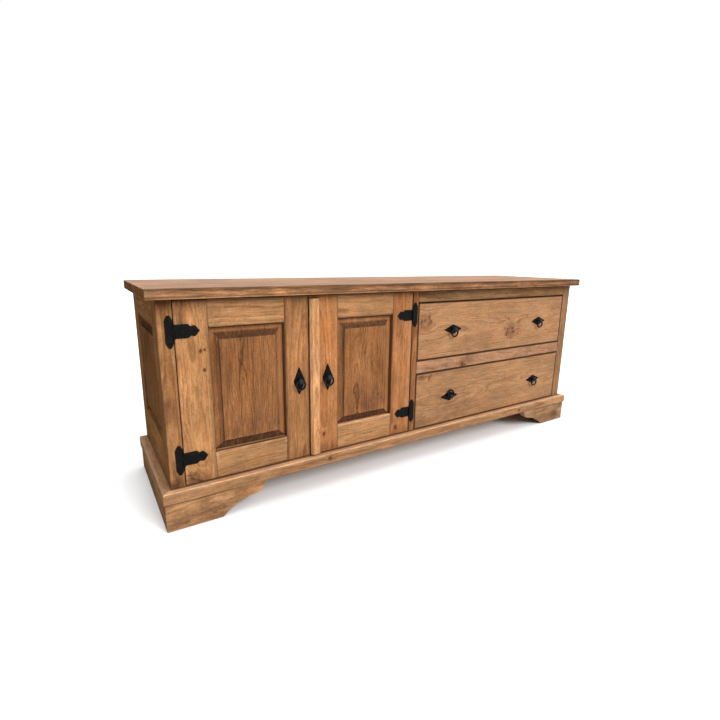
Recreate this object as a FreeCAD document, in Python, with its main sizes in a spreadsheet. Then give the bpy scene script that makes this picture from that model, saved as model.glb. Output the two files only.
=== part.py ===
"""Low TV stand in stained pine: two panelled doors on strap hinges on the left,
two drawers on the right, a bracket-foot plinth and a plain overhanging top.

Millimetres.  +Z is up, the front of the stand faces -Y, +X is to the right of
somebody facing it.  The origin is the middle of the footprint, on the floor.
All drawing dimensions are measured from the front-left corner of the carcass
on the floor (x to the right, y to the back) and are shifted to the origin by
the cells shift_x and shift_y.
"""
import os

import FreeCAD
import Part
import Sketcher

V = FreeCAD.Vector
doc = FreeCAD.newDocument("tv_stand")

# ------------------------------------------------------------------ dimensions
CELLS = [
    # carcass
    ("carcass_w", 1600.0), ("carcass_d", 417.0), ("total_h", 609.0),
    ("top_t", 26.0), ("top_side", 22.0), ("top_front", 27.0), ("top_ease", 2.0),
    ("board_t", 24.0), ("base_h", 106.5),
    ("post_l", 36.0), ("post_r", 42.0), ("post_d", 67.0),
    ("side_rail_top", 515.0), ("side_rail_low", 217.0),
    ("mid_l", 758.5), ("mid_r", 782.0),
    ("div_t", 20.0), ("bottom_t", 22.0), ("back_t", 8.0), ("back_lap", 10.0),
    # front frame of the drawer side
    ("rail_top_z", 544.0), ("rail_mid_lo", 305.6), ("rail_mid_hi", 348.9),
    # frame-and-panel joinery
    ("groove_t", 8.0), ("groove_d", 9.0), ("tenon_l", 18.0), ("tenon_in", 5.0), ("tenon_lip", 10.0),
    ("tongue_t", 7.5), ("tongue_in", 8.0), ("panel_clear", 0.4),
    ("bevel_w", 25.0), ("bevel_top", 31.0), ("bevel_low", 21.5),
    ("field_step", 2.0), ("field_back", 3.2),
    ("cove_a", 0.22), ("cove_a_deep", 0.39), ("cove_b", 0.55), ("cove_b_deep", 0.8),
    ("panel_back", 12.25), ("side_back", 10.0),
    # plinth
    ("foot_h", 75.0), ("foot_side", 18.5), ("foot_front", 15.8), ("foot_t", 24.0),
    ("foot_flat", 140.5), ("foot_knee_x", 223.5), ("foot_knee_z", 41.0),
    ("foot_len", 262.0), ("foot_cove", 150.0), ("foot_round", 38.0),
    ("band_side", 22.0), ("band_front", 20.0), ("band_in", 6.0), ("band_round", 3.5),
    ("band_front_in", 8.2),
    # doors
    ("door_lo", 109.5), ("door_hi", 579.5), ("door_gap", 2.0),
    ("meet_l", 387.0), ("meet_r", 390.0),
    ("ldoor_open_l", 117.0), ("ldoor_open_r", 316.0),
    ("rdoor_open_l", 481.5), ("rdoor_open_r", 680.0),
    ("door_open_lo", 185.5), ("door_open_hi", 509.5),
    ("strip_w", 28.0), ("strip_t", 10.0), ("strip_lo", 111.0), ("strip_hi", 571.5),
    ("strip_bevel", 6.0),
    # hinges
    ("hinge_y", 3.6), ("barrel_r", 3.2), ("pin_r", 1.6), ("pin_run", 0.05),
    ("leaf_w", 19.0), ("leaf_h", 78.0), ("iron_t", 2.2),
    ("knuckle_mid", 11.4), ("knuckle_all", 34.0), ("strap_root", 3.7),
    ("strap_len", 55.5), ("hinge_hi", 505.5), ("hinge_lo", 180.5),
    ("screw_r", 1.7), ("screw_l", 15.0), ("screw_head_r", 3.3), ("screw_head_h", 1.3),
    # ring pulls
    ("plate_l", 78.0), ("plate_w", 33.5), ("plate_t", 2.0), ("plate_ease", 0.8),
    ("stud_out", 10.2), ("stud_ball", 8.0), ("stud_cheek", 6.0), ("stud_shank", 2.5),
    ("stud_in", 17.0), ("ring_r", 13.9), ("ring_wire", 2.75), ("ring_drop", 10.2),
    ("ring_pin", 1.7), ("ring_pin_in", 2.8),
    ("pull_ld_x", 357.0), ("pull_rd_x", 447.5), ("pull_door_z", 341.5),
    ("pull_dl_x", 941.0), ("pull_dr_x", 1408.0), ("pull_up_z", 446.0), ("pull_lo_z", 205.0),
    ("ring_up", 190.0),
    # drawers
    ("drw_gap", 2.4), ("drw_front_t", 22.0), ("drw_side_t", 14.0), ("drw_side_in", 8.0),
    ("drw_back_y", 382.0), ("drw_bot_t", 6.0), ("drw_bot_in", 6.0),
    ("up_lo", 351.2), ("up_hi", 541.6), ("lo_lo", 109.2), ("lo_hi", 303.2),
    ("up_side_lo", 355.0), ("up_side_hi", 524.0), ("lo_side_lo", 113.0), ("lo_side_hi", 286.0),
    ("drw_bot_z", 10.0), ("run_w", 24.0), ("run_gap", 0.4), ("run_back", 400.0),
    ("front_ease", 1.5),
    # inside the cupboard
    ("shelf_z", 330.0), ("shelf_t", 20.0), ("shelf_y", 60.0), ("shelf_back", 405.0),
    ("cleat_w", 18.0), ("cleat_h", 18.0), ("stop_h", 42.0), ("stop_t", 20.0), ("stop_gap", 0.4),
    ("catch_l", 46.0), ("catch_h", 12.0), ("catch_t", 15.0), ("strike_t", 1.2),
    ("catch_lx", 322.0), ("catch_rx", 436.0),
    ("bear_h", 9.0), ("bear_w", 26.0), ("rear_lift", 20.0),
]
sheet = doc.addObject("Spreadsheet::Sheet", "Dims")
for row, (alias, value) in enumerate(CELLS, start=1):
    sheet.set("A%d" % row, alias)
    sheet.set("B%d" % row, repr(value))
    sheet.setAlias("B%d" % row, alias)
row = len(CELLS) + 1
for alias, formula in (("shift_x", "=-carcass_w/2"),
                       ("shift_y", "=-(carcass_d-top_front)/2"),
                       ("under_top", "=total_h-top_t")):
    sheet.set("A%d" % row, alias)
    sheet.set("B%d" % row, formula)
    sheet.setAlias("B%d" % row, alias)
    row += 1
doc.recompute()


def E(text):
    """Drawing shorthand: @name is the cell of that name."""
    return str(text).replace("@", "Dims.")


def num(text):
    value = sheet.evalExpression(E(text))
    return float(getattr(value, "Value", value))


def place(obj, x, y, z, rot=None):
    """Put an object at drawing coordinates, bound to the sheet."""
    if rot is not None:
        obj.Placement = FreeCAD.Placement(V(0, 0, 0), rot)
    obj.setExpression(".Placement.Base.x", E("@shift_x + (%s)" % x))
    obj.setExpression(".Placement.Base.y", E("@shift_y + (%s)" % y))
    obj.setExpression(".Placement.Base.z", E("%s" % z))
    return obj


SUBPARTS = []
made = {}


def uniq(name):
    made[name] = made.get(name, 0) + 1
    return name if made[name] == 1 else "%s_%d" % (name, made[name])


def box(name, x0, x1, y0, y1, z0, z1):
    b = doc.addObject("Part::Box", uniq(name))
    b.setExpression("Length", E("(%s) - (%s)" % (x1, x0)))
    b.setExpression("Width", E("(%s) - (%s)" % (y1, y0)))
    b.setExpression("Height", E("(%s) - (%s)" % (z1, z0)))
    return place(b, x0, y0, z0)


ALONG = {
    "x": FreeCAD.Rotation(V(0, 0, 1), V(1, 0, 0)),
    "y": FreeCAD.Rotation(V(0, 0, 1), V(0, 1, 0)),
    "-y": FreeCAD.Rotation(V(0, 0, 1), V(0, -1, 0)),
    "z": FreeCAD.Rotation(),
}


def cyl(name, r, length, x, y, z, along="z"):
    c = doc.addObject("Part::Cylinder", uniq(name))
    c.setExpression("Radius", E(r))
    c.setExpression("Height", E(length))
    return place(c, x, y, z, ALONG[along])


def cone(name, r1, r2, length, x, y, z, along="z"):
    c = doc.addObject("Part::Cone", uniq(name))
    c.setExpression("Radius1", E(r1))
    c.setExpression("Radius2", E(r2))
    c.setExpression("Height", E(length))
    return place(c, x, y, z, ALONG[along])


def cut(name, base, tools):
    tool = tools[0] if len(tools) == 1 else group(name + "_tools", tools)
    c = doc.addObject("Part::Cut", uniq(name))
    c.Base = base
    c.Tool = tool
    return c


def fuse(name, shapes):
    f = doc.addObject("Part::MultiFuse", uniq(name))
    f.Shapes = shapes
    f.Refine = True
    return f


def common(name, a, b):
    c = doc.addObject("Part::Common", uniq(name))
    c.Base = a
    c.Tool = b
    return c


def group(name, shapes):
    g = doc.addObject("Part::Compound", uniq(name))
    g.Links = shapes
    return g


def subpart(obj, label):
    obj.Label = label
    SUBPARTS.append((label, obj))
    return obj


def outline(body, role, points, name):
    """Closed outline on one of a body's own planes.  Every corner is held by
    its two coordinates, every arc by its radius, all bound to the sheet.
    A point is (u, v) or (u, v, (mid_u, mid_v, radius)) where the third entry
    makes the run to the next point an arc through about that middle."""
    plane = [f for f in body.Origin.OriginFeatures if f.Role == role][0]
    sk = body.newObject("Sketcher::SketchObject", uniq(name))
    sk.AttachmentSupport = [(plane, "")]
    sk.MapMode = "FlatFace"
    n = len(points)
    pos = [V(num(p[0]), num(p[1]), 0) for p in points]
    first, last = [], []
    for i, p in enumerate(points):
        a, b = pos[i], pos[(i + 1) % n]
        if len(p) == 3:
            arc = Part.Arc(a, V(num(p[2][0]), num(p[2][1]), 0), b)
            g = sk.addGeometry(arc, False)
            start = sk.getPoint(g, 1)
            flip = (start - a).Length > (start - b).Length
            first.append((g, 2 if flip else 1))
            last.append((g, 1 if flip else 2))
        else:
            g = sk.addGeometry(Part.LineSegment(a, b), False)
            first.append((g, 1))
            last.append((g, 2))
    for i in range(n):
        sk.addConstraint(Sketcher.Constraint("Coincident", *last[i], *first[(i + 1) % n]))
    for i, p in enumerate(points):
        g, end = first[i]
        if abs(pos[i].x) < 1e-9:
            sk.addConstraint(Sketcher.Constraint("PointOnObject", g, end, -2))
        else:
            k = sk.addConstraint(Sketcher.Constraint("DistanceX", -1, 1, g, end, pos[i].x))
            sk.setExpression("Constraints[%d]" % k, E(p[0]))
        if abs(pos[i].y) < 1e-9:
            sk.addConstraint(Sketcher.Constraint("PointOnObject", g, end, -1))
        else:
            k = sk.addConstraint(Sketcher.Constraint("DistanceY", -1, 1, g, end, pos[i].y))
            sk.setExpression("Constraints[%d]" % k, E(p[1]))
        if len(p) == 3:
            k = sk.addConstraint(Sketcher.Constraint("Radius", first[i][0], num(p[2][2])))
            sk.setExpression("Constraints[%d]" % k, E(p[2][2]))
    return sk


def padded(name, role, points, length, x, y, z, rot=None):
    """A body: one outline on one of its planes, padded along that plane's
    normal (XY: up, XZ: towards the front, YZ: to the right)."""
    body = doc.addObject("PartDesign::Body", uniq(name))
    sk = outline(body, role, points, name + "_outline")
    pad = body.newObject("PartDesign::Pad", uniq(name + "_pad"))
    pad.Profile = sk
    pad.setExpression("Length", E(length))
    place(body, x, y, z, rot)
    return body, pad


def eased(body, pad, kind, size, name, pick=None):
    """Round or chamfer edges of a padded body."""
    doc.recompute()
    names = ["Edge%d" % (i + 1) for i, e in enumerate(pad.Shape.Edges)
             if pick is None or pick(e)]
    feat = body.newObject("PartDesign::" + kind, uniq(name))
    feat.Base = (pad, names)
    feat.setExpression("Radius" if kind == "Fillet" else "Size", E(size))
    body.Tip = feat
    return feat


def rect(w, d):
    return [("0", "0"), (w, "0"), (w, d), ("0", d)]


# ------------------------------------------------------------------------- top
body, pad = padded("top_board", "XY_Plane",
                   rect("@carcass_w + 2*@top_side", "@carcass_d + @top_front"),
                   "@top_t", "-@top_side", "-@top_front", "@under_top")
eased(body, pad, "Fillet", "@top_ease", "top_ease")
subpart(body, "top_board")

# ---------------------------------------------------------------- carcass sides
# Each side is a frame: a post at the front and the back, two rails tenoned
# into them and a raised panel held in grooves.
POST_IN = {"left": "@post_l", "right": "@post_r"}


def across(side, a, b):
    """x range of something that lies a..b in from the outer face of a side."""
    if side == "left":
        return a, b
    return "@carcass_w - (%s)" % b, "@carcass_w - (%s)" % a


def slot(side):
    return across(side, "@side_back - 0.25", "@side_back - 0.25 + @groove_t")


def post_slots(side, name, front):
    """Mortises for the rails and the groove for the panel in one post."""
    x0, x1 = slot(side)
    if front:
        deep, shallow, face = "@post_d - @tenon_l", "@post_d - @groove_d", "@post_d"
    else:
        deep, shallow, face = ("@carcass_d - @post_d + @tenon_l",
                               "@carcass_d - @post_d + @groove_d", "@carcass_d - @post_d")

    def run(tag, far, z0, z1):
        y0, y1 = (far, face) if front else (face, far)
        return box(name + tag, x0, x1, y0, y1, z0, z1)

    return [run("_mortise_hi", deep, "@side_rail_top + @tenon_lip", "@under_top - @tenon_in"),
            run("_mortise_lo", deep, "@base_h + @tenon_in", "@side_rail_low - @tenon_lip"),
            run("_groove", shallow, "@side_rail_low - @tenon_lip", "@side_rail_top + @tenon_lip")]


back_posts = []
for side in ("left", "right"):
    xo, xi = across(side, "0", POST_IN[side])
    blank = box(side + "_front_blank", xo, xi, "0", "@post_d", "@base_h", "@under_top")
    subpart(cut(side + "_front_post", blank, post_slots(side, side + "_front", True)),
            side + "_front_post")
    blank = box(side + "_back_blank", xo, xi, "@carcass_d - @post_d", "@carcass_d",
                "@base_h", "@under_top")
    rx0, rx1 = across(side, "@back_lap", POST_IN[side])
    rebate = box(side + "_rebate", rx0, rx1, "@carcass_d - @back_t", "@carcass_d",
                 "@base_h", "@under_top")
    back_posts.append(cut(side + "_back_post", blank,
                          post_slots(side, side + "_back", False) + [rebate]))

    rails = []
    sx0, sx1 = slot(side)
    rx0, rx1 = across(side, "0", "@board_t")
    for tag, z0, z1, t0, t1, g0, g1 in (
            ("_hi", "@side_rail_top", "@under_top", "@side_rail_top + @tenon_lip",
             "@under_top - @tenon_in", "@side_rail_top", "@side_rail_top + @groove_d"),
            ("_lo", "@base_h", "@side_rail_low", "@base_h + @tenon_in",
             "@side_rail_low - @tenon_lip", "@side_rail_low - @groove_d", "@side_rail_low")):
        bar = box(side + tag + "_bar", rx0, rx1, "@post_d", "@carcass_d - @post_d", z0, z1)
        tenon = box(side + tag + "_tenon", sx0, sx1, "@post_d - @tenon_l + 0.5",
                    "@carcass_d - @post_d + @tenon_l - 0.5", t0, t1)
        groove = box(side + tag + "_groove", sx0, sx1, "@post_d", "@carcass_d - @post_d", g0, g1)
        whole = fuse(side + tag + "_rail_blank", [bar, tenon])
        rails.append(cut(side + tag + "_rail", whole, [groove]))
    subpart(group(side + "_side_rails", rails), side + "_side_rails")
subpart(group("back_posts", back_posts), "back_posts")


def wedge(name, small, large, depth, rot, x, y, z):
    """Sloping border of a raised panel.  small and large are the two
    rectangles (u0, u1, w0, w1); it runs from small at 0 to large at depth."""
    w = doc.addObject("Part::Wedge", uniq(name))
    names = ("Xmin", "Xmax", "Zmin", "Zmax")
    for prop, value in zip(names, small):
        w.setExpression(prop, E(value))
    for prop, value in zip(("X2min", "X2max", "Z2min", "Z2max"), large):
        w.setExpression(prop, E(value))
    w.setExpression("Ymin", E("0 * @panel_clear"))
    w.setExpression("Ymax", E(depth))
    return place(w, x, y, z, rot)


def raised(name, u0, u1, z0, z1, field, back, front_of):
    """Raised panel filling the opening u0..u1, z0..z1 of a frame.
    field: depth of the field behind the frame's face, back: depth of the
    tongue's front.  front_of is 'front', 'left' or 'right'."""
    c, m, lo, hi = "@panel_clear", "@bevel_w", "@bevel_low", "@bevel_top"
    wide, high = "(%s) - (%s)" % (u1, u0), "(%s) - (%s)" % (z1, z0)
    lip = "(%s) + @field_step" % field
    depth = "(%s) - (%s)" % (back, lip)

    def ring(t):
        """Outline of the hollow slope a fraction t of the way to the frame."""
        at = lambda v: "(%s + (%s - %s)*(%s))" % (v, c, v, t)
        return at(m), "%s - %s" % (wide, at(m)), at(lo), "%s - %s" % (high, at(hi))

    def slope_parts(rot, where):
        """The slope is hollow: three flats, each less steep than the last."""
        marks = [("0", "0"), ("@cove_a", "@cove_a_deep"), ("@cove_b", "@cove_b_deep"), ("1", "1")]
        out = []
        for k, ((t0, d0), (t1, d1)) in enumerate(zip(marks, marks[1:])):
            out.append(wedge("%s_slope_%d" % (name, k + 1), ring(t0), ring(t1),
                             "(%s)*(%s - %s)" % (depth, d1, d0), rot,
                             *where("(%s) + (%s)*%s" % (lip, depth, d0))))
        return out

    if front_of == "front":
        tongue = box(name + "_tongue", "(%s) - @tongue_in" % u0, "(%s) + @tongue_in" % u1,
                     back, "(%s) + @tongue_t" % back,
                     "(%s) - @tongue_in" % z0, "(%s) + @tongue_in" % z1)
        face = box(name + "_field", "(%s) + %s" % (u0, m), "(%s) - %s" % (u1, m),
                   field, "(%s) + 0.5" % lip, "(%s) + %s" % (z0, lo), "(%s) - %s" % (z1, hi))
        slope = slope_parts(FreeCAD.Rotation(), lambda d: (u0, d, z0))
    else:
        side = front_of
        tx0, tx1 = across(side, back, "(%s) + @tongue_t" % back)
        tongue = box(name + "_tongue", tx0, tx1, "(%s) - @tongue_in" % u0,
                     "(%s) + @tongue_in" % u1,
                     "(%s) - @tongue_in" % z0, "(%s) + @tongue_in" % z1)
        fx0, fx1 = across(side, field, "(%s) + 0.5" % lip)
        face = box(name + "_field", fx0, fx1, "(%s) + %s" % (u0, m), "(%s) - %s" % (u1, m),
                   "(%s) + %s" % (z0, lo), "(%s) - %s" % (z1, hi))
        if side == "left":
            slope = slope_parts(FreeCAD.Rotation(V(0, 0, 1), -90), lambda d: (d, u1, z0))
        else:
            slope = slope_parts(FreeCAD.Rotation(V(0, 0, 1), 90),
                                lambda d: ("@carcass_w - (%s)" % d, u0, z0))
    return fuse(name, [tongue] + slope + [face])


for side in ("left", "right"):
    subpart(raised(side + "_side_panel", "@post_d", "@carcass_d - @post_d",
                   "@side_rail_low", "@side_rail_top", "2.6", "@side_back", side),
            side + "_side_panel")

# ------------------------------------------------- front frame and inner boards
subpart(box("middle_stile", "@mid_l", "@mid_r", "0", "@board_t", "@base_h", "@under_top"),
        "middle_stile")
subpart(box("divider_panel", "@mid_l + 2", "@mid_l + 2 + @div_t", "@board_t",
            "@carcass_d - @back_t", "@base_h", "@under_top"), "divider_panel")
subpart(box("drawer_top_rail", "@mid_r", "@carcass_w - @post_r", "0", "@board_t",
            "@rail_top_z", "@under_top"), "drawer_top_rail")
subpart(box("drawer_middle_rail", "@mid_r", "@carcass_w - @post_r", "0", "@board_t",
            "@rail_mid_lo", "@rail_mid_hi"), "drawer_middle_rail")
subpart(box("bottom_board", "@band_in", "@carcass_w - @band_in", "@band_front_in",
            "@carcass_d - @back_t", "@base_h - @bottom_t", "@base_h"), "bottom_board")
subpart(box("back_panel", "@back_lap", "@carcass_w - @back_lap", "@carcass_d - @back_t",
            "@carcass_d", "@base_h - @bottom_t", "@under_top"), "back_panel")
subpart(box("door_stop_batten", "@post_l", "@mid_l + 2", "@board_t + @stop_gap",
            "@board_t + @stop_gap + @stop_t", "@under_top - @stop_h", "@under_top"),
        "door_stop_batten")
subpart(box("shelf", "@post_l + 1.5", "@mid_l + 0.5", "@shelf_y", "@shelf_back",
            "@shelf_z", "@shelf_z + @shelf_t"), "shelf")
subpart(group("bearer_cleats", [
    box("shelf_cleat_l", "@post_l", "@post_l + @cleat_w", "@shelf_y", "@shelf_back",
        "@shelf_z - @cleat_h", "@shelf_z"),
    box("shelf_cleat_r", "@mid_l + 2 - @cleat_w", "@mid_l + 2", "@shelf_y", "@shelf_back",
        "@shelf_z - @cleat_h", "@shelf_z"),
    box("bottom_cleat_f", "@band_in + @bear_w", "@carcass_w - @band_in - @bear_w",
        "@band_front_in", "@band_front_in + @bear_w",
        "@base_h - @bottom_t - @bear_h", "@base_h - @bottom_t"),
    box("bottom_cleat_l", "@band_in", "@band_in + @bear_w", "@band_front_in",
        "@carcass_d - @board_t", "@base_h - @bottom_t - @bear_h", "@base_h - @bottom_t"),
    box("bottom_cleat_r", "@carcass_w - @band_in - @bear_w", "@carcass_w - @band_in",
        "@band_front_in", "@carcass_d - @board_t",
        "@base_h - @bottom_t - @bear_h", "@base_h - @bottom_t"),
]), "bearer_cleats")

runners = []
for tag, side_lo, floor in (("up", "@up_side_lo", "@up_side_lo - @run_gap - 24"),
                            ("lo", "@lo_side_lo", "@base_h")):
    top = "%s - @run_gap" % side_lo
    runners.append(box("runner_%s_l" % tag, "@mid_l + 2 + @div_t",
                       "@mid_l + 2 + @div_t + @run_w", "@board_t", "@run_back", floor, top))
    runners.append(box("runner_%s_r" % tag, "@carcass_w - @post_r - @run_w",
                       "@carcass_w - @post_r", "@board_t", "@run_back", floor, top))
subpart(group("drawer_runners", runners), "drawer_runners")

# ----------------------------------------------------------------------- plinth
# Moulded band on top of boards that stand on the floor; the front boards are
# two bracket feet with an ogee, all mitred at the front corners.


def plan(name, pts, z0, z1):
    return padded(name, "XY_Plane", pts, "(%s) - (%s)" % (z1, z0),
                  "-@band_side", "-@band_front", z0)[0]


band_lo, band_hi = "@foot_h", "@base_h"
wide = "@carcass_w + 2*@band_side"
deep = "@band_front + @band_front_in"
rise = "@base_h - @foot_h"
section, _ = padded("front_band_section", "YZ_Plane", [
    ("0", "2"), ("2", "0"), (deep, "0"), (deep, rise), ("@band_round", rise,
     ("@band_round*0.293", "%s - @band_round*0.293" % rise, "@band_round")),
    ("0", "%s - @band_round" % rise)],
    wide, "-@band_side", "-@band_front", "@foot_h")
mitre = plan("front_band_plan", [
    ("0", "0"), (wide, "0"),
    ("%s - (@band_side + @band_in)" % wide, deep), ("@band_side + @band_in", deep)],
    band_lo, band_hi)
subpart(common("front_plinth_moulding", section, mitre), "front_plinth_moulding")

sides = []
span = "@band_side + @band_in"
for side in ("left", "right"):
    if side == "left":
        pts = [("0", "2"), ("2", "0"), (span, "0"), (span, rise), ("@band_round", rise,
               ("@band_round*0.293", "%s - @band_round*0.293" % rise, "@band_round")),
               ("0", "%s - @band_round" % rise)]
        x = "-@band_side"
    else:
        pts = [("0", "0"), ("%s - 2" % span, "0"), (span, "2"),
               (span, "%s - @band_round" % rise,
                ("%s - @band_round*0.293" % span, "%s - @band_round*0.293" % rise, "@band_round")),
               ("%s - @band_round" % span, rise), ("0", rise)]
        x = "@carcass_w - @band_in"
    section, _ = padded(side + "_band_section", "XZ_Plane", pts,
                        "@carcass_d + @band_front", x, "@carcass_d", "@foot_h")
    if side == "left":
        pts = [("0", "0"), (span, deep), (span, "@carcass_d + @band_front"),
               ("0", "@carcass_d + @band_front")]
    else:
        pts = [(wide, "0"), (wide, "@carcass_d + @band_front"),
               ("%s - (%s)" % (wide, span), "@carcass_d + @band_front"),
               ("%s - (%s)" % (wide, span), deep)]
    sides.append(common(side + "_band", section, plan(side + "_band_plan", pts, band_lo, band_hi)))
subpart(group("side_plinth_mouldings", sides), "side_plinth_mouldings")

# Bracket feet: flat toe, cove, round knuckle, up to the band.
arc_a = ("(@foot_flat + @foot_knee_x)/2 - 2", "@foot_knee_z/2 + 5.5", "@foot_cove")
arc_b = ("@foot_len - 9.5", "@foot_knee_z + 12.5", "@foot_round")
FOOT = [("0", "0"), ("@foot_flat", "0", arc_a), ("@foot_knee_x", "@foot_knee_z", arc_b),
        ("@foot_len", "@foot_h"), ("0", "@foot_h")]


def mirrored(pts, width):
    out = []
    for p in pts:
        q = ("(%s) - (%s)" % (width, p[0]), p[1])
        if len(p) == 3:
            q += (("(%s) - (%s)" % (width, p[2][0]), p[2][1], p[2][2]),)
        out.append(q)
    return out


fdeep = "@foot_t"
boards = []
for side in ("left", "right"):
    pts = FOOT if side == "left" else mirrored(FOOT, "@foot_len")
    x = "-@foot_side" if side == "left" else "@carcass_w + @foot_side - @foot_len"
    shape, _ = padded(side + "_foot_outline", "XZ_Plane", pts, "@foot_t",
                      x, "@foot_t - @foot_front", "0")
    cut_plan = [("0", "0"), ("@foot_len", "0"), ("@foot_len", fdeep), (fdeep, fdeep)]
    if side == "right":
        cut_plan = [("0", "0"), ("@foot_len", "0"), ("@foot_len - %s" % fdeep, fdeep), ("0", fdeep)]
    body, _ = padded(side + "_foot_plan", "XY_Plane", cut_plan, "@foot_h", x, "-@foot_front", "0")
    subpart(common(side + "_bracket_foot", shape, body), side + "_bracket_foot")
    run = "@carcass_d + @foot_front"
    if side == "left":
        pts = [("0", "0"), (fdeep, fdeep), (fdeep, run), ("0", run)]
        x = "-@foot_side"
    else:
        pts = [(fdeep, "0"), (fdeep, run), ("0", run), ("0", fdeep)]
        x = "@carcass_w + @foot_side - @foot_t"
    boards.append(padded(side + "_plinth_board", "XY_Plane", pts, "@foot_h",
                         x, "-@foot_front", "0")[0])
boards.append(box("rear_plinth_rail", "@foot_t - @foot_side", "@carcass_w - (@foot_t - @foot_side)",
                  "@carcass_d - @board_t", "@carcass_d", "@rear_lift", "@foot_h"))
boards.append(box("rear_bearer_rail", "@band_in", "@carcass_w - @band_in",
                  "@carcass_d - @board_t", "@carcass_d", "@foot_h", "@base_h - @bottom_t"))
boards = boards[:2] + [fuse("rear_rail", boards[2:])]
subpart(group("plinth_boards", boards), "plinth_boards")

# ------------------------------------------------------------------------ doors
DOORS = {
    "left": {"lo": "@post_l + @door_gap", "hi": "@meet_l",
             "ol": "@ldoor_open_l", "or": "@ldoor_open_r"},
    "right": {"lo": "@meet_r", "hi": "@mid_l - @door_gap",
              "ol": "@rdoor_open_l", "or": "@rdoor_open_r"},
}
GY0, GY1 = "@panel_back - 0.25", "@panel_back - 0.25 + @groove_t"
for side, d in DOORS.items():
    stiles = {}
    for tag, x0, x1, face, inward in (("l", d["lo"], d["ol"], d["ol"], -1),
                                      ("r", d["or"], d["hi"], d["or"], 1)):
        blank = box("%s_stile_%s_blank" % (side, tag), x0, x1, "0", "@board_t",
                    "@door_lo", "@door_hi")

        def run(name, depth, z0, z1):
            far = "(%s) %s (%s)" % (face, "-" if inward < 0 else "+", depth)
            a, b = (far, face) if inward < 0 else (face, far)
            return box(name, a, b, GY0, GY1, z0, z1)

        stiles[tag] = cut("%s_stile_%s" % (side, tag), blank, [
            run("%s_%s_mortise_hi" % (side, tag), "@tenon_l", "@door_open_hi + @tenon_lip",
                "@door_hi - @tenon_in"),
            run("%s_%s_mortise_lo" % (side, tag), "@tenon_l", "@door_lo + @tenon_in",
                "@door_open_lo - @tenon_lip"),
            run("%s_%s_groove" % (side, tag), "@groove_d", "@door_open_lo - @tenon_lip",
                "@door_open_hi + @tenon_lip")])
    hinge_tag, meet_tag = ("l", "r") if side == "left" else ("r", "l")
    subpart(stiles[hinge_tag], side + "_door_hinge_stile")
    subpart(stiles[meet_tag], side + "_door_meeting_stile")
    rails = []
    for tag, z0, z1, t0, t1, g0, g1 in (
            ("hi", "@door_open_hi", "@door_hi", "@door_open_hi + @tenon_lip",
             "@door_hi - @tenon_in", "@door_open_hi", "@door_open_hi + @groove_d"),
            ("lo", "@door_lo", "@door_open_lo", "@door_lo + @tenon_in",
             "@door_open_lo - @tenon_lip", "@door_open_lo - @groove_d", "@door_open_lo")):
        bar = box("%s_rail_%s_bar" % (side, tag), d["ol"], d["or"], "0", "@board_t", z0, z1)
        tenon = box("%s_rail_%s_tenon" % (side, tag), "(%s) - @tenon_l + 0.5" % d["ol"],
                    "(%s) + @tenon_l - 0.5" % d["or"], GY0, GY1, t0, t1)
        groove = box("%s_rail_%s_groove" % (side, tag), d["ol"], d["or"], GY0, GY1, g0, g1)
        rails.append(cut("%s_rail_%s" % (side, tag),
                         fuse("%s_rail_%s_blank" % (side, tag), [bar, tenon]), [groove]))
    subpart(group(side + "_door_rails", rails), side + "_door_rails")
    subpart(raised(side + "_door_panel", d["ol"], d["or"], "@door_open_lo", "@door_open_hi",
                   "@field_back", "@panel_back", "front"), side + "_door_panel")

# Cover strip on the meeting edge of the right door, bevelled on its free side.
strip, _ = padded("right_door_cover_strip", "XY_Plane", [
    ("0", "@strip_t"), ("0", "@strip_bevel"), ("@strip_bevel", "0"),
    ("@strip_w - 2", "0"), ("@strip_w", "2"), ("@strip_w", "@strip_t")],
    "@strip_hi - @strip_lo", "@meet_r", "-@strip_t", "@strip_lo")
subpart(strip, "right_door_cover_strip")

# ----------------------------------------------------------------------- hinges
# Strap hinges: an upright leaf with two knuckles on the frame, a spear-shaped
# strap with the middle knuckle on the door, and a pin with tapered ends.
AXIS = {"left": "@post_l + @door_gap/2", "right": "@mid_l - @door_gap/2"}
half = "@leaf_w/2"
LEAF = [("%s - 3" % half, "0"), ("%s + 3" % half, "0"), ("@leaf_w", "11.5"),
        ("@leaf_w", "@leaf_h - 11.5"), ("%s + 3" % half, "@leaf_h"),
        ("%s - 3" % half, "@leaf_h"), ("0", "@leaf_h - 11.5"), ("0", "11.5")]
SPEAR = [("0", 16.6), ("26.5", 17.2), ("30.5", 15.2), ("35.0", 11.0), ("38.5", 12.4),
         ("43.0", 13.4), ("46.5", 11.4)]
MID = 18.0
STRAP = [(u, "%r - %r" % (MID, v)) for u, v in SPEAR]
STRAP += [("@strap_len", "%r" % MID)]
STRAP += [(u, "%r + %r" % (MID, v)) for u, v in reversed(SPEAR)]


def screw(name, x, z, face):
    """Round-headed wood screw standing on a plate whose face is at y = face."""
    head = cone(name + "_head", "@screw_head_r", "@screw_head_r - 1.4", "@screw_head_h",
                x, face, z, "-y")
    shank = cyl(name + "_shank", "@screw_r", "@screw_l", x, face, z, "y")
    return fuse(name, [head, shank])


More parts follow.
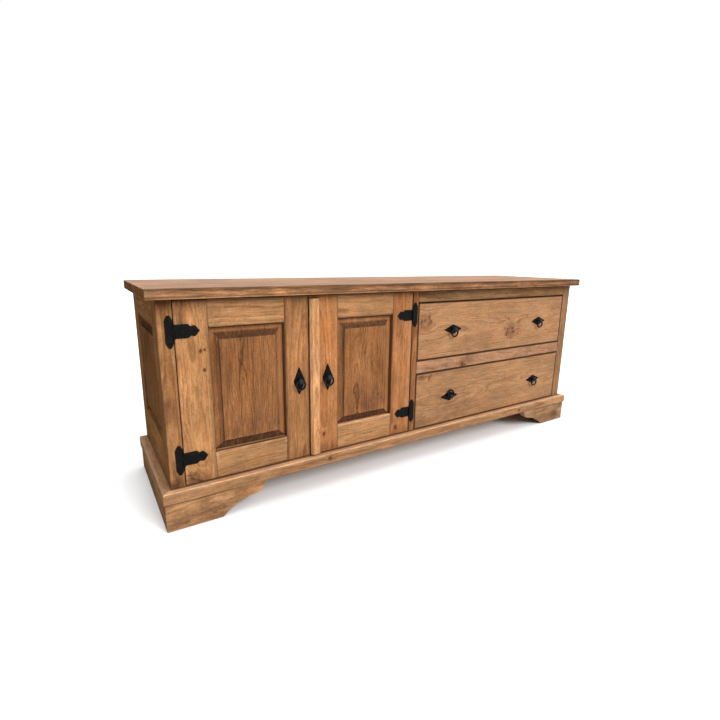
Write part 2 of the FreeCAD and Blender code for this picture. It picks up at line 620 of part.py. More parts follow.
leaves, pins, frame_screws = [], [], []
straps = {"left": [], "right": []}
door_screws = {"left": [], "right": []}
for side in ("left", "right"):
    ax = AXIS[side]
    for tag, zc in (("hi", "@hinge_hi"), ("lo", "@hinge_lo")):
        nm = "%s_%s" % (side, tag)
        # upright leaf
        lx = "%s - 1 - @leaf_w" % ax if side == "left" else "%s + 1" % ax
        plate, _ = padded(nm + "_leaf_plate", "XZ_Plane", LEAF, "@iron_t", lx, "0",
                          "%s - @leaf_h/2" % zc)
        a, b = ("%s - 3" % ax, "%s" % ax) if side == "left" else ("%s" % ax, "%s + 3" % ax)
        bridge_hi = box(nm + "_bridge_hi", a, b, "-@iron_t", "-0.4", "%s + @knuckle_mid/2 + 0.3" % zc,
                        "%s + @knuckle_all/2" % zc)
        bridge_lo = box(nm + "_bridge_lo", a, b, "-@iron_t", "-0.4", "%s - @knuckle_all/2" % zc,
                        "%s - @knuckle_mid/2 - 0.3" % zc)
        k_hi = cyl(nm + "_knuckle_hi", "@barrel_r", "@knuckle_all/2 - @knuckle_mid/2 - 0.3",
                   ax, "-@hinge_y", "%s + @knuckle_mid/2 + 0.3" % zc)
        k_lo = cyl(nm + "_knuckle_lo", "@barrel_r", "@knuckle_all/2 - @knuckle_mid/2 - 0.3",
                   ax, "-@hinge_y", "%s - @knuckle_all/2" % zc)
        a, b = (("%s - @barrel_r - 0.6" % ax, "%s + 4" % ax) if side == "left"
                else ("%s - 4" % ax, "%s + @barrel_r + 0.6" % ax))
        notch = box(nm + "_notch", a, b, "-8", "1", "%s - @knuckle_mid/2 - 0.3" % zc,
                    "%s + @knuckle_mid/2 + 0.3" % zc)
        bore = cyl(nm + "_bore", "@pin_r", "60", ax, "-@hinge_y", "%s - 30" % zc)
        sx = "%s + @leaf_w/2" % lx
        holes = [cyl(nm + "_leaf_hole", "@screw_r + 0.15", "10", sx, "-6", "%s + 27" % zc, "y"),
                 cyl(nm + "_leaf_hole", "@screw_r + 0.15", "10", sx, "-6", "%s - 27" % zc, "y")]
        whole = fuse(nm + "_leaf_blank", [plate, bridge_hi, bridge_lo, k_hi, k_lo])
        leaves.append(cut(nm + "_leaf", whole, [notch, bore] + holes))
        frame_screws += [screw(nm + "_leaf_screw_a", sx, "%s + 27" % zc, "-@iron_t"),
                         screw(nm + "_leaf_screw_b", sx, "%s - 27" % zc, "-@iron_t")]
        # pin
        rod = cyl(nm + "_pin_rod", "@pin_r", "@knuckle_all", ax, "-@hinge_y",
                  "%s - @knuckle_all/2" % zc)
        cap_hi = cone(nm + "_pin_cap_hi", "@pin_r", "@pin_r - 0.7", "1.8", ax, "-@hinge_y",
                      "%s + @knuckle_all/2" % zc)
        cap_lo = cone(nm + "_pin_cap_lo", "@pin_r - 0.7", "@pin_r", "1.8", ax, "-@hinge_y",
                      "%s - @knuckle_all/2 - 1.8" % zc)
        pins.append(fuse(nm + "_pin", [rod, cap_hi, cap_lo]))
        # strap
        if side == "left":
            pts, lx = STRAP, "%s + @strap_root" % ax
            a, b = "%s" % ax, "%s + @strap_root + 1" % ax
            s1, s2 = "%s + @strap_root + 11" % ax, "%s + @strap_root + 41.5" % ax
        else:
            pts, lx = mirrored(STRAP, "@strap_len"), "%s - @strap_root - @strap_len" % ax
            a, b = "%s - @strap_root - 1" % ax, "%s" % ax
            s1, s2 = "%s - @strap_root - 11" % ax, "%s - @strap_root - 41.5" % ax
        plate, _ = padded(nm + "_strap_plate", "XZ_Plane", pts, "@iron_t", lx, "0",
                          "%s - %r" % (zc, MID))
        bridge = box(nm + "_strap_bridge", a, b, "-@iron_t", "-0.4", "%s - @knuckle_mid/2" % zc,
                     "%s + @knuckle_mid/2" % zc)
        k_mid = cyl(nm + "_knuckle_mid", "@barrel_r", "@knuckle_mid", ax, "-@hinge_y",
                    "%s - @knuckle_mid/2" % zc)
        bore = cyl(nm + "_strap_bore", "@pin_r + @pin_run", "60", ax, "-@hinge_y", "%s - 30" % zc)
        holes = [cyl(nm + "_strap_hole", "@screw_r + 0.15", "10", s1, "-6", "%s + 9" % zc, "y"),
                 cyl(nm + "_strap_hole", "@screw_r + 0.15", "10", s1, "-6", "%s - 9" % zc, "y"),
                 cyl(nm + "_strap_hole", "@screw_r + 0.15", "10", s2, "-6", zc, "y")]
        whole = fuse(nm + "_strap_blank", [plate, bridge, k_mid])
        straps[side].append(cut(nm + "_strap", whole, [bore] + holes))
        door_screws[side] += [screw(nm + "_strap_screw_a", s1, "%s + 9" % zc, "-@iron_t"),
                              screw(nm + "_strap_screw_b", s1, "%s - 9" % zc, "-@iron_t"),
                              screw(nm + "_strap_screw_c", s2, zc, "-@iron_t")]
subpart(group("hinge_frame_leaves", leaves), "hinge_frame_leaves")
subpart(group("hinge_pins", pins), "hinge_pins")
subpart(group("hinge_frame_screws", frame_screws), "hinge_frame_screws")
for side in ("left", "right"):
    subpart(group(side + "_door_hinge_straps", straps[side]), side + "_door_hinge_straps")
    subpart(group(side + "_door_hinge_screws", door_screws[side]), side + "_door_hinge_screws")

# -------------------------------------------------------------------- ring pulls
# A diamond back plate, a ball-headed stud with flat cheeks, and a ring whose
# turned-in ends swing in the hole through the ball.


def diamond(name, x, z, upright):
    w, h = ("@plate_w", "@plate_l") if upright else ("@plate_l", "@plate_w")
    k = 1.2
    pts = [("(%s)/2 - %r" % (w, k), "0"), ("(%s)/2 + %r" % (w, k), "0"),
           (w, "(%s)/2 - %r" % (h, k)), (w, "(%s)/2 + %r" % (h, k)),
           ("(%s)/2 + %r" % (w, k), h), ("(%s)/2 - %r" % (w, k), h),
           ("0", "(%s)/2 + %r" % (h, k)), ("0", "(%s)/2 - %r" % (h, k))]
    body, pad = padded(name, "XZ_Plane", pts, "@plate_t", "(%s) - (%s)/2" % (x, w), "0",
                       "(%s) - (%s)/2" % (z, h))
    front = -num("@plate_t")
    eased(body, pad, "Chamfer", "@plate_ease", name + "_ease",
          pick=lambda e: all(abs(v.Point.y - front) < 1e-6 for v in e.Vertexes))
    hole = cyl(name + "_hole", "@stud_shank + 0.1", "10", x, "-6", z, "y")
    return cut(name + "_drilled", body, [hole])


def stud(name, x, z):
    body = doc.addObject("PartDesign::Body", uniq(name + "_turned"))
    lo = "@stud_in"                       # turned along the body's own up axis
    ball_z = "@stud_in + @stud_out"
    neck_z = "@stud_in + @stud_out - 5.5"
    neck_r = "sqrt(@stud_ball*@stud_ball - 5.5*5.5)"
    sk = outline(body, "XZ_Plane", [
        ("0", "0"), ("@stud_shank", "0"), ("@stud_shank", "%s + @plate_t" % lo),
        ("6.2", "%s + @plate_t" % lo), ("5.2", "%s + @plate_t + 1.4" % lo),
        (neck_r, neck_z, ("@stud_ball*0.98", "%s + @stud_ball*0.2" % ball_z, "@stud_ball")),
        ("0", "%s + @stud_ball" % ball_z)], name + "_section")
    rev = body.newObject("PartDesign::Revolution", uniq(name + "_rev"))
    rev.Profile = sk
    rev.ReferenceAxis = (sk, ["V_Axis"])
    rev.Angle = 360.0
    place(body, x, "@stud_in", z, ALONG["-y"])
    y0, y1 = "-@stud_out - 12", "-@plate_t - 1.4"
    cheeks = [box(name + "_cheek", "(%s) + @stud_cheek" % x, "(%s) + 12" % x, y0, y1,
                  "(%s) - 12" % z, "(%s) + 12" % z),
              box(name + "_cheek", "(%s) - 12" % x, "(%s) - @stud_cheek" % x, y0, y1,
                  "(%s) - 12" % z, "(%s) + 12" % z)]
    eye = cyl(name + "_eye", "@ring_pin + 0.06", "24", "(%s) - 12" % x, "-@stud_out", z, "x")
    return cut(name, body, cheeks + [eye])


def ring(name, x, z, lifted=None):
    """Ring hanging from (x, z); lifted is the angle it is swung up to."""
    end = "sqrt(@ring_r*@ring_r - @ring_drop*@ring_drop)"
    open_half = "asin((%s)/@ring_r)" % end
    hoop = doc.addObject("Part::Torus", uniq(name + "_hoop"))
    hoop.setExpression("Radius1", E("@ring_r"))
    hoop.setExpression("Radius2", E("@ring_wire"))
    hoop.setExpression("Angle3", E("360 deg - 2*%s" % open_half))
    # the hoop's own plane becomes X-Z, its opening centred on top
    half_open = num(open_half)
    turn = FreeCAD.Rotation(V(1, 0, 0), 90).multiply(FreeCAD.Rotation(V(0, 0, 1), 90 + half_open))
    hoop.Placement = FreeCAD.Placement(V(0, 0, 0), turn)
    hoop.setExpression(".Placement.Base.z", E("-@ring_drop"))
    bits = [hoop]
    for s in ("", "-"):
        elbow = doc.addObject("Part::Sphere", uniq(name + "_elbow"))
        elbow.setExpression("Radius", E("@ring_wire"))
        elbow.setExpression(".Placement.Base.x", E("%s(%s)" % (s, end)))
        bits.append(elbow)
        tip = doc.addObject("Part::Cylinder", uniq(name + "_tip"))
        tip.setExpression("Radius", E("@ring_pin"))
        tip.setExpression("Height", E("%s - @ring_pin_in" % end))
        tip.Placement = FreeCAD.Placement(V(0, 0, 0), ALONG["x"])
        tip.setExpression(".Placement.Base.x",
                          E("@ring_pin_in" if s == "" else "-(%s)" % end))
        bits.append(tip)
    whole = fuse(name, bits)
    if lifted is None:
        return place(whole, x, "-@stud_out", z)
    turn = FreeCAD.Rotation(V(-1, 0, 0), num(lifted))
    return place(whole, x, "-@stud_out", z, turn)


PULLS = [("left_door", "@pull_ld_x", "@pull_door_z", True, None),
         ("right_door", "@pull_rd_x", "@pull_door_z", True, None),
         ("upper_drawer_left", "@pull_dl_x", "@pull_up_z", False, None),
         ("upper_drawer_right", "@pull_dr_x", "@pull_up_z", False, None),
         ("lower_drawer_left", "@pull_dl_x", "@pull_lo_z", False, "@ring_up"),
         ("lower_drawer_right", "@pull_dr_x", "@pull_lo_z", False, None)]
mounts = {}
for name, x, z, upright, lifted in PULLS:
    mounts[name] = (diamond(name + "_plate", x, z, upright), stud(name + "_stud", x, z))
    subpart(ring(name + "_ring", x, z, lifted), name + "_ring")
for side in ("left", "right"):
    subpart(mounts[side + "_door"][0], side + "_door_pull_plate")
    subpart(mounts[side + "_door"][1], side + "_door_pull_stud")
for lev in ("upper", "lower"):
    subpart(group(lev + "_drawer_pull_mounts",
                  list(mounts[lev + "_drawer_left"]) + list(mounts[lev + "_drawer_right"])),
            lev + "_drawer_pull_mounts")

# ---------------------------------------------------------------------- catches
catches = []
for side, cx in (("left", "@catch_lx"), ("right", "@catch_rx")):
    y0 = "@board_t + @strike_t + @stop_gap"
    hi = "@under_top - @stop_h"
    catches.append(box(side + "_catch", cx, "%s + @catch_l" % cx, y0, "%s + @catch_t" % y0,
                       "%s - @catch_h" % hi, hi))
    subpart(box(side + "_door_strike", "%s + 3" % cx, "%s + @catch_l - 3" % cx, "@board_t",
                "@board_t + @strike_t", "%s - @catch_h - 1" % hi, "%s - 1" % hi),
            side + "_door_strike")
subpart(group("door_catches", catches), "door_catches")

# ---------------------------------------------------------------------- drawers
for lev, z0, z1, s0, s1 in (("upper", "@up_lo", "@up_hi", "@up_side_lo", "@up_side_hi"),
                            ("lower", "@lo_lo", "@lo_hi", "@lo_side_lo", "@lo_side_hi")):
    x0, x1 = "@mid_r + @drw_gap", "@carcass_w - @post_r - @drw_gap"
    sl, sr = "@mid_r + @drw_side_in", "@carcass_w - @post_r - @drw_side_in"
    body, pad = padded(lev + "_front_board", "XZ_Plane", rect("%s - (%s)" % (x1, x0), "%s - %s" % (z1, z0)),
                       "@drw_front_t", x0, "@drw_front_t", z0)
    front = -num("@drw_front_t")
    eased(body, pad, "Fillet", "@front_ease", lev + "_front_ease",
          pick=lambda e: all(abs(v.Point.y - front) < 1e-6 for v in e.Vertexes))
    b0, b1 = "%s + @drw_bot_z" % s0, "%s + @drw_bot_z + @drw_bot_t" % s0
    inl, inr = "%s + @drw_side_t" % sl, "%s - @drw_side_t" % sr
    yb = "@drw_back_y - @drw_side_t"
    groove = box(lev + "_front_groove", "%s - @drw_bot_in" % inl, "%s + @drw_bot_in" % inr,
                 "@drw_front_t - @drw_bot_in", "@drw_front_t", b0, b1)
    subpart(cut(lev + "_drawer_front", body, [groove]), lev + "_drawer_front")
    groove = box(lev + "_box_groove", "%s - @drw_bot_in" % inl, "%s + @drw_bot_in" % inr,
                 "@drw_front_t", "@drw_back_y - @drw_side_t + @drw_bot_in", b0, b1)
    walls = [box(lev + "_side_l", sl, inl, "@drw_front_t", "@drw_back_y", s0, s1),
             box(lev + "_side_r", inr, sr, "@drw_front_t", "@drw_back_y", s0, s1),
             box(lev + "_back", inl, inr, yb, "@drw_back_y", s0, "%s - 8" % s1)]
    subpart(group(lev + "_drawer_box",
                  [cut("%s_wall_%d" % (lev, i), w, [groove]) for i, w in enumerate(walls)]),
            lev + "_drawer_box")
    subpart(box(lev + "_drawer_bottom", "%s - @drw_bot_in" % inl, "%s + @drw_bot_in" % inr,
                "@drw_front_t - @drw_bot_in", "@drw_back_y - @drw_side_t + @drw_bot_in", b0, b1),
            lev + "_drawer_bottom")

# ------------------------------------------------------------- check and write
doc.recompute()
bad = [o.Name for o in doc.Objects if {"Invalid", "Error"} & set(o.State)]
if bad:
    raise SystemExit("failed objects: %s" % bad)
labels = [label for label, _ in SUBPARTS]
if len(set(labels)) != len(labels) or len(labels) > 60:
    raise SystemExit("sub-part names: %d" % len(labels))
for label, obj in SUBPARTS:
    shape = obj.Shape
    if shape.isNull() or not shape.isValid() or not shape.Solids or shape.Volume <= 0:
        raise SystemExit("bad shape: %s" % label)

os.makedirs("parts", exist_ok=True)
total = None
for label, obj in SUBPARTS:
    obj.Shape.exportStep("parts/%s.step" % label)
    b = obj.Shape.BoundBox
    print("%-26s %2d solids  %9.1f cm3   x %8.2f %8.2f  y %8.2f %8.2f  z %7.2f %7.2f" % (
        label, len(obj.Shape.Solids), obj.Shape.Volume / 1000.0,
        b.XMin, b.XMax, b.YMin, b.YMax, b.ZMin, b.ZMax))
    if total is None:
        total = FreeCAD.BoundBox(b)
    else:
        total.add(b)
print("%d sub-parts, overall %.2f x %.2f x %.2f, centre %.2f %.2f, floor %.3f" % (
    len(SUBPARTS), total.XLength, total.YLength, total.ZLength,
    total.Center.x, total.Center.y, total.ZMin))
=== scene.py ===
import math
import random

import bmesh
import bpy
from mathutils import Matrix, Vector, noise


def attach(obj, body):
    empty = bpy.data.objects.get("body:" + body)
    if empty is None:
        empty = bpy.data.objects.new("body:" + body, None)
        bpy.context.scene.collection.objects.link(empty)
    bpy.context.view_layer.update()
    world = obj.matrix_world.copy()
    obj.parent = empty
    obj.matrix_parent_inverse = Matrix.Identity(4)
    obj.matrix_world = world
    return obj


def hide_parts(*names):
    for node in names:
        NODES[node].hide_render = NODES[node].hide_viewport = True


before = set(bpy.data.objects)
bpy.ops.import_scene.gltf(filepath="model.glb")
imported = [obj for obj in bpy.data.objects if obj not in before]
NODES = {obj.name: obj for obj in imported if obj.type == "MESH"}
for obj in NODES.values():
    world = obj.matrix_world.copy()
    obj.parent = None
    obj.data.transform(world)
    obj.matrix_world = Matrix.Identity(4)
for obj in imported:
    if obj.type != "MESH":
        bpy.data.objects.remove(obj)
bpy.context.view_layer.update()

MM = 0.001
AX = {"x": 0, "y": 1, "z": 2}


# --------------------------------------------------------------------- frame
# Sizes below are millimetres from the carcass's front left corner at the
# floor; the row frame has its origin under the middle of the whole stand.
def row(p):
    return Vector(((p[0] - 800.0) * MM, (p[1] - 195.0) * MM, p[2] * MM))


# ------------------------------------------------------------------- meshing
class Skin:
    """Vertices, faces and per-face grain of one piece, in millimetres."""

    def __init__(self):
        self.co, self.worn, self.stain_and_painted_light = [], [], []
        self.faces, self.maps, self.pools, self.mats = [], [], [], []

    # The last value is the depth of dark stain together with painted shade in gaps, recesses and under the overhang;
    # below 0 it paints the wood lighter as a painted highlight.
    def vert(self, p, worn=0.0, stain_and_painted_light=0.0):
        self.co.append((p[0], p[1], p[2]))
        self.worn.append(worn)
        self.stain_and_painted_light.append(stain_and_painted_light)
        return len(self.co) - 1

    def face(self, ids, grain, pools=None, mat=0):
        """pools overrides the vertices' depth of stain and painted light, corner by corner."""
        self.faces.append(tuple(ids))
        self.maps.append(grain)
        self.pools.append(pools)
        self.mats.append(mat)


class Grain:
    """Linear map from a point in millimetres to wood space in metres:
    (across the pith, away from the pith, along the grain)."""

    def __init__(self, along, depth, face, centre, seed, width=80.0,
                 pith=None, tilt=None, tone=None):
        rng = random.Random(seed * 7919 + 17)
        across = [k for k in "xyz" if k not in (along, depth)][0]
        pa, pd = pith or (rng.uniform(-0.35, 0.35) * width * MM, rng.uniform(0.022, 0.05))
        ta, td = tilt or (rng.uniform(-0.03, 0.03), rng.choice((-1, 1)) * rng.uniform(0.012, 0.035))
        self.tone = rng.uniform(-1, 1) if tone is None else tone
        self.i = (AX[across], AX[depth], AX[along])
        self.c = (centre[AX[across]], face, centre[AX[along]])
        self.pa, self.pd, self.ta, self.td, self.shift = pa, pd, ta, td, 13.7 * (seed % 61) + 3.1

    def __call__(self, p):
        g = (p[self.i[2]] - self.c[2]) * MM
        a = (p[self.i[0]] - self.c[0]) * MM - self.pa - self.ta * g
        d = abs(p[self.i[1]] - self.c[1]) * MM + self.pd + self.td * g
        return a, d, g + self.shift


def smooth_noise(p, scale, seed):
    return noise.noise(Vector((p[0] / scale + seed * 3.17, p[1] / scale - seed * 1.31,
                               p[2] / scale + seed * 0.73)))


def fillet(corners, seg=3, step=30.0, near=(2.5, 7.0)):
    """Closed outline with rounded corners: list of (a, b, na, nb, worn)."""
    area = sum(corners[i][0] * corners[(i + 1) % len(corners)][1]
               - corners[(i + 1) % len(corners)][0] * corners[i][1] for i in range(len(corners)))
    pts = list(corners) if area > 0 else list(reversed(corners))
    n = len(pts)
    arcs = []
    for i in range(n):
        p, c, q = Vector(pts[i - 1][:2]), Vector(pts[i][:2]), Vector(pts[(i + 1) % n][:2])
        r = pts[i][2]
        u, w = (p - c).normalized(), (q - c).normalized()
        half = math.acos(max(-1.0, min(1.0, u.dot(w)))) / 2
        turn = (c - p).x * (q - c).y - (c - p).y * (q - c).x
        if r <= 0 or half > math.radians(89):
            nrm = Vector(((c - p).y, -(c - p).x)).normalized() + Vector(((q - c).y, -(q - c).x)).normalized()
            nrm.normalize()
            arcs.append([(c.x, c.y, nrm.x, nrm.y, 0.0)])
            continue
        t = min(r / math.tan(half), 0.45 * (p - c).length, 0.45 * (q - c).length)
        r = t * math.tan(half)
        a, b = c + u * t, c + w * t
        mid = c + (u + w).normalized() * (r / math.sin(half))
        out = []
        sgn = 1.0 if turn > 0 else -1.0
        a0 = math.atan2(a.y - mid.y, a.x - mid.x)
        a1 = math.atan2(b.y - mid.y, b.x - mid.x)
        d = (a1 - a0 + math.pi) % (2 * math.pi) - math.pi
        k = max(1, int(round(seg * abs(d) / (math.pi / 2))))
        for s in range(k + 1):
            ang = a0 + d * s / k
            e = Vector((math.cos(ang), math.sin(ang)))
            out.append((mid.x + r * e.x, mid.y + r * e.y, sgn * e.x, sgn * e.y,
                        1.0 if sgn > 0 else 0.0))
        arcs.append(out)
    loop = []
    for i in range(n):
        loop += arcs[i]
        a, b = Vector(arcs[i][-1][:2]), Vector(arcs[(i + 1) % n][0][:2])
        length = (b - a).length
        if length < 1e-6:
            continue
        e = (b - a) / length
        wa, wb = arcs[i][-1][4], arcs[(i + 1) % n][0][4]
        cuts = {}
        for k, off in enumerate(near):
            if off < length * 0.42:
                cuts[off] = (0.5, 0.12)[k] * wa
                cuts[length - off] = (0.5, 0.12)[k] * wb
        lo = max([c for c in cuts if c < length / 2], default=0.0)
        hi = min([c for c in cuts if c > length / 2], default=length)
        m = int((hi - lo) / step)
        for k in range(1, m + 1):
            cuts[lo + (hi - lo) * k / (m + 1)] = 0.0
        for c in sorted(cuts):
            q = a + e * c
            loop.append((q.x, q.y, e.y, -e.x, cuts[c]))
    return loop


ORDER = {"x": ("y", "z"), "y": ("z", "x"), "z": ("x", "y")}


def prism(skin, corners, axis, t0, t1, grain, end=None, step=30.0, seed=1, wob=0.2,
          seg=3, tint=None, edge=0.0, cap=0.75, rub=None, end_mat=0, mat_of=None, painted_shade_at=None):
    """Closed stick of that outline along axis.  corners: (a, b, radius) in the
    order that ORDER gives for the axis.  t0 and t1 are numbers, or functions
    of (a, b) for mitred ends.  tint(a, b) gives the depth of dark stain, which
    some pieces use as painted shade, edge the depth of dark stain and painted
    gap shade held along the eased edges, cap the depth on the end grain,
    soot(a, b, t) the depth of painted shade with the place along the stick,
    rub(a, b, t) how much more the edges are rubbed, on some pieces a painted
    highlight, end_mat the ends' material and mat_of(a, b) that of the long faces."""
    hold = edge if callable(edge) else (lambda a, b: edge)
    loop = fillet(corners, seg=seg, step=step)
    lo = t0 if callable(t0) else (lambda a, b: t0)
    hi = t1 if callable(t1) else (lambda a, b: t1)
    mitred = callable(t0), callable(t1)
    mean = sum(hi(p[0], p[1]) - lo(p[0], p[1]) for p in loop) / len(loop)
    if end is None:
        end = 0.75 * min([c[2] for c in corners if c[2] > 0] or [0.3])
    marks = []                                   # (distance from t0, inset, worn)
    if mitred[0]:
        marks.append((0.0, 0.0, 0.2))
    else:
        for phi in (0, 30, 60, 90):
            s, c = math.sin(math.radians(phi)), math.cos(math.radians(phi))
            marks.append((end * (1 - c), end * (1 - s), 0.25 if phi == 0 else 1.0))
    extra = [(2.5, 0.0, 0.5), (7.0, 0.0, 0.12)]
    head = marks + [(end + d, i, w) for d, i, w in extra if mean > 24 and not mitred[0]]
    tail = []
    if mitred[1]:
        tail.append((0.0, 0.0, 0.2))
    else:
        for phi in (0, 30, 60, 90):
            s, c = math.sin(math.radians(phi)), math.cos(math.radians(phi))
            tail.append((end * (1 - c), end * (1 - s), 0.25 if phi == 0 else 1.0))
    tail += [(end + d, i, w) for d, i, w in extra if mean > 24 and not mitred[1]]
    a0, b0 = head[-1][0], mean - tail[-1][0]
    m = max(1, int(round((b0 - a0) / step)))
    sections = [(d, None, i, w) for d, i, w in head]
    sections += [(None, k / m, 0.0, 0.0) for k in range(1, m)]
    sections += [(None, None, i, w, d) for d, i, w in reversed(tail)]
    ia, ib = AX[ORDER[axis][0]], AX[ORDER[axis][1]]
    it = AX[axis]
    rings = []
    for sec in sections:
        ring = []
        for a, b, na, nb, worn in loop:
            l, h = lo(a, b), hi(a, b)
            if sec[0] is not None:
                t = l + sec[0]
            elif sec[1] is not None:
                t = (l + head[-1][0]) + (h - tail[-1][0] - l - head[-1][0]) * sec[1]
            else:
                t = h - sec[4]
            p = [0.0, 0.0, 0.0]
            p[ia], p[ib], p[it] = a, b, t
            w = wob * (0.5 + 0.5 * smooth_noise(p, 130.0, seed))
            p[ia] -= na * (sec[2] + w)
            p[ib] -= nb * (sec[2] + w)
            wear = max(worn, sec[3]) if sec[3] != 0.25 else 0.25
            ring.append(skin.vert(p, wear * (rub(a, b, t) if rub else 1.0),
                                  max(hold(a, b) * wear ** 4, tint(a, b) if tint else 0.0,
                                      painted_shade_at(a, b, t) if painted_shade_at else 0.0)))
        rings.append(ring)
    n = len(loop)
    pick = grain if callable(grain) and not isinstance(grain, Grain) else (lambda a, b: grain)
    for r0, r1 in zip(rings, rings[1:]):
        for i in range(n):
            j = (i + 1) % n
            a, b = (loop[i][0] + loop[j][0]) / 2, (loop[i][1] + loop[j][1]) / 2
            skin.face((r0[i], r0[j], r1[j], r1[i]), pick(a, b), None, mat_of(a, b) if mat_of else 0)
    ca = sum(p[0] for p in loop) / n
    cb = sum(p[1] for p in loop) / n
    skin.face(tuple(reversed(rings[0])), pick(ca, cb), (cap,) * n, end_mat)
    skin.face(tuple(rings[-1]), pick(ca, cb), (cap,) * n, end_mat)


def plank(skin, lo, hi, along, depth, face, seed, r=0.8, step=30.0, wob=0.2, planks=None,
          edge=0.0, tint=None, rub=None, end_mat=0, mat_of=None, painted_shade_at=None, **kw):
    """Rectangular board from lo to hi, grain along one axis, show face at
    depth = face.  planks gives the glue lines across the face."""
    ka, kb = ORDER[along]
    a0, a1, b0, b1 = lo[AX[ka]], hi[AX[ka]], lo[AX[kb]], hi[AX[kb]]
    centre = [(l + h) / 2 for l, h in zip(lo, hi)]
    across = [k for k in "xyz" if k not in (along, depth)][0]
    width = hi[AX[across]] - lo[AX[across]]
    corners = []
    if planks:
        cuts = sorted(planks)
        edges = [lo[AX[across]]] + cuts + [hi[AX[across]]]
        grains = []
        for k in range(len(edges) - 1):
            c = list(centre)
            c[AX[across]] = (edges[k] + edges[k + 1]) / 2
            grains.append(Grain(along, depth, face, c, seed + 5 * k, edges[k + 1] - edges[k], **kw))

        def grain(a, b):
            v = a if ka == across else b
            k = sum(1 for c in cuts if v > c)
            return grains[k]
        # corner points of radius 0 on the long sides put an edge on each line
        if ka == across:
            corners = [(a0, b0, r)] + [(c, b0, 0) for c in cuts] + [(a1, b0, r), (a1, b1, r)] \
                + [(c, b1, 0) for c in reversed(cuts)] + [(a0, b1, r)]
        else:
            corners = [(a0, b0, r), (a1, b0, r)] + [(a1, c, 0) for c in cuts] + [(a1, b1, r), (a0, b1, r)] \
                + [(a0, c, 0) for c in reversed(cuts)]
    else:
        grain = Grain(along, depth, face, centre, seed, width, **kw)
        corners = [(a0, b0, r), (a1, b0, r), (a1, b1, r), (a0, b1, r)]
    prism(skin, corners, along, lo[AX[along]], hi[AX[along]], grain, step=step, seed=seed, wob=wob,
          edge=edge, tint=tint, rub=rub, end_mat=end_mat, mat_of=mat_of, painted_shade_at=painted_shade_at)
    return skin


PANEL_STAIN_AND_LIGHT = {           # depth of stain and painted shade from the frame (0) to the field (1); the high ends are painted shadow lines, and below 0 it is a painted highlight
    "low": ((0.0, 1.3), (0.1, 1.05), (0.5, 1.0), (0.85, 1.1), (1.0, 1.1)),
    "right": ((0.0, 1.3), (0.06, 0.8), (0.13, -0.2), (0.5, -0.3), (0.75, 0.0), (0.92, 0.45), (1.0, 0.75)),
    "top": ((0.0, 1.5), (0.06, 1.1), (0.12, -0.2), (0.4, -0.3), (0.5, 0.9), (0.93, 1.0), (1.0, 0.7)),
    "left": ((0.0, 1.2), (0.06, 0.6), (0.13, -0.05), (0.5, -0.1), (0.78, 0.3), (0.95, 0.75), (1.0, 0.85)),
}


def along_line(table, t):
    for (a, va), (b, vb) in zip(table, table[1:]):
        if t <= b:
            return va + (vb - va) * max(0.0, t - a) / (b - a)
    return table[-1][1]


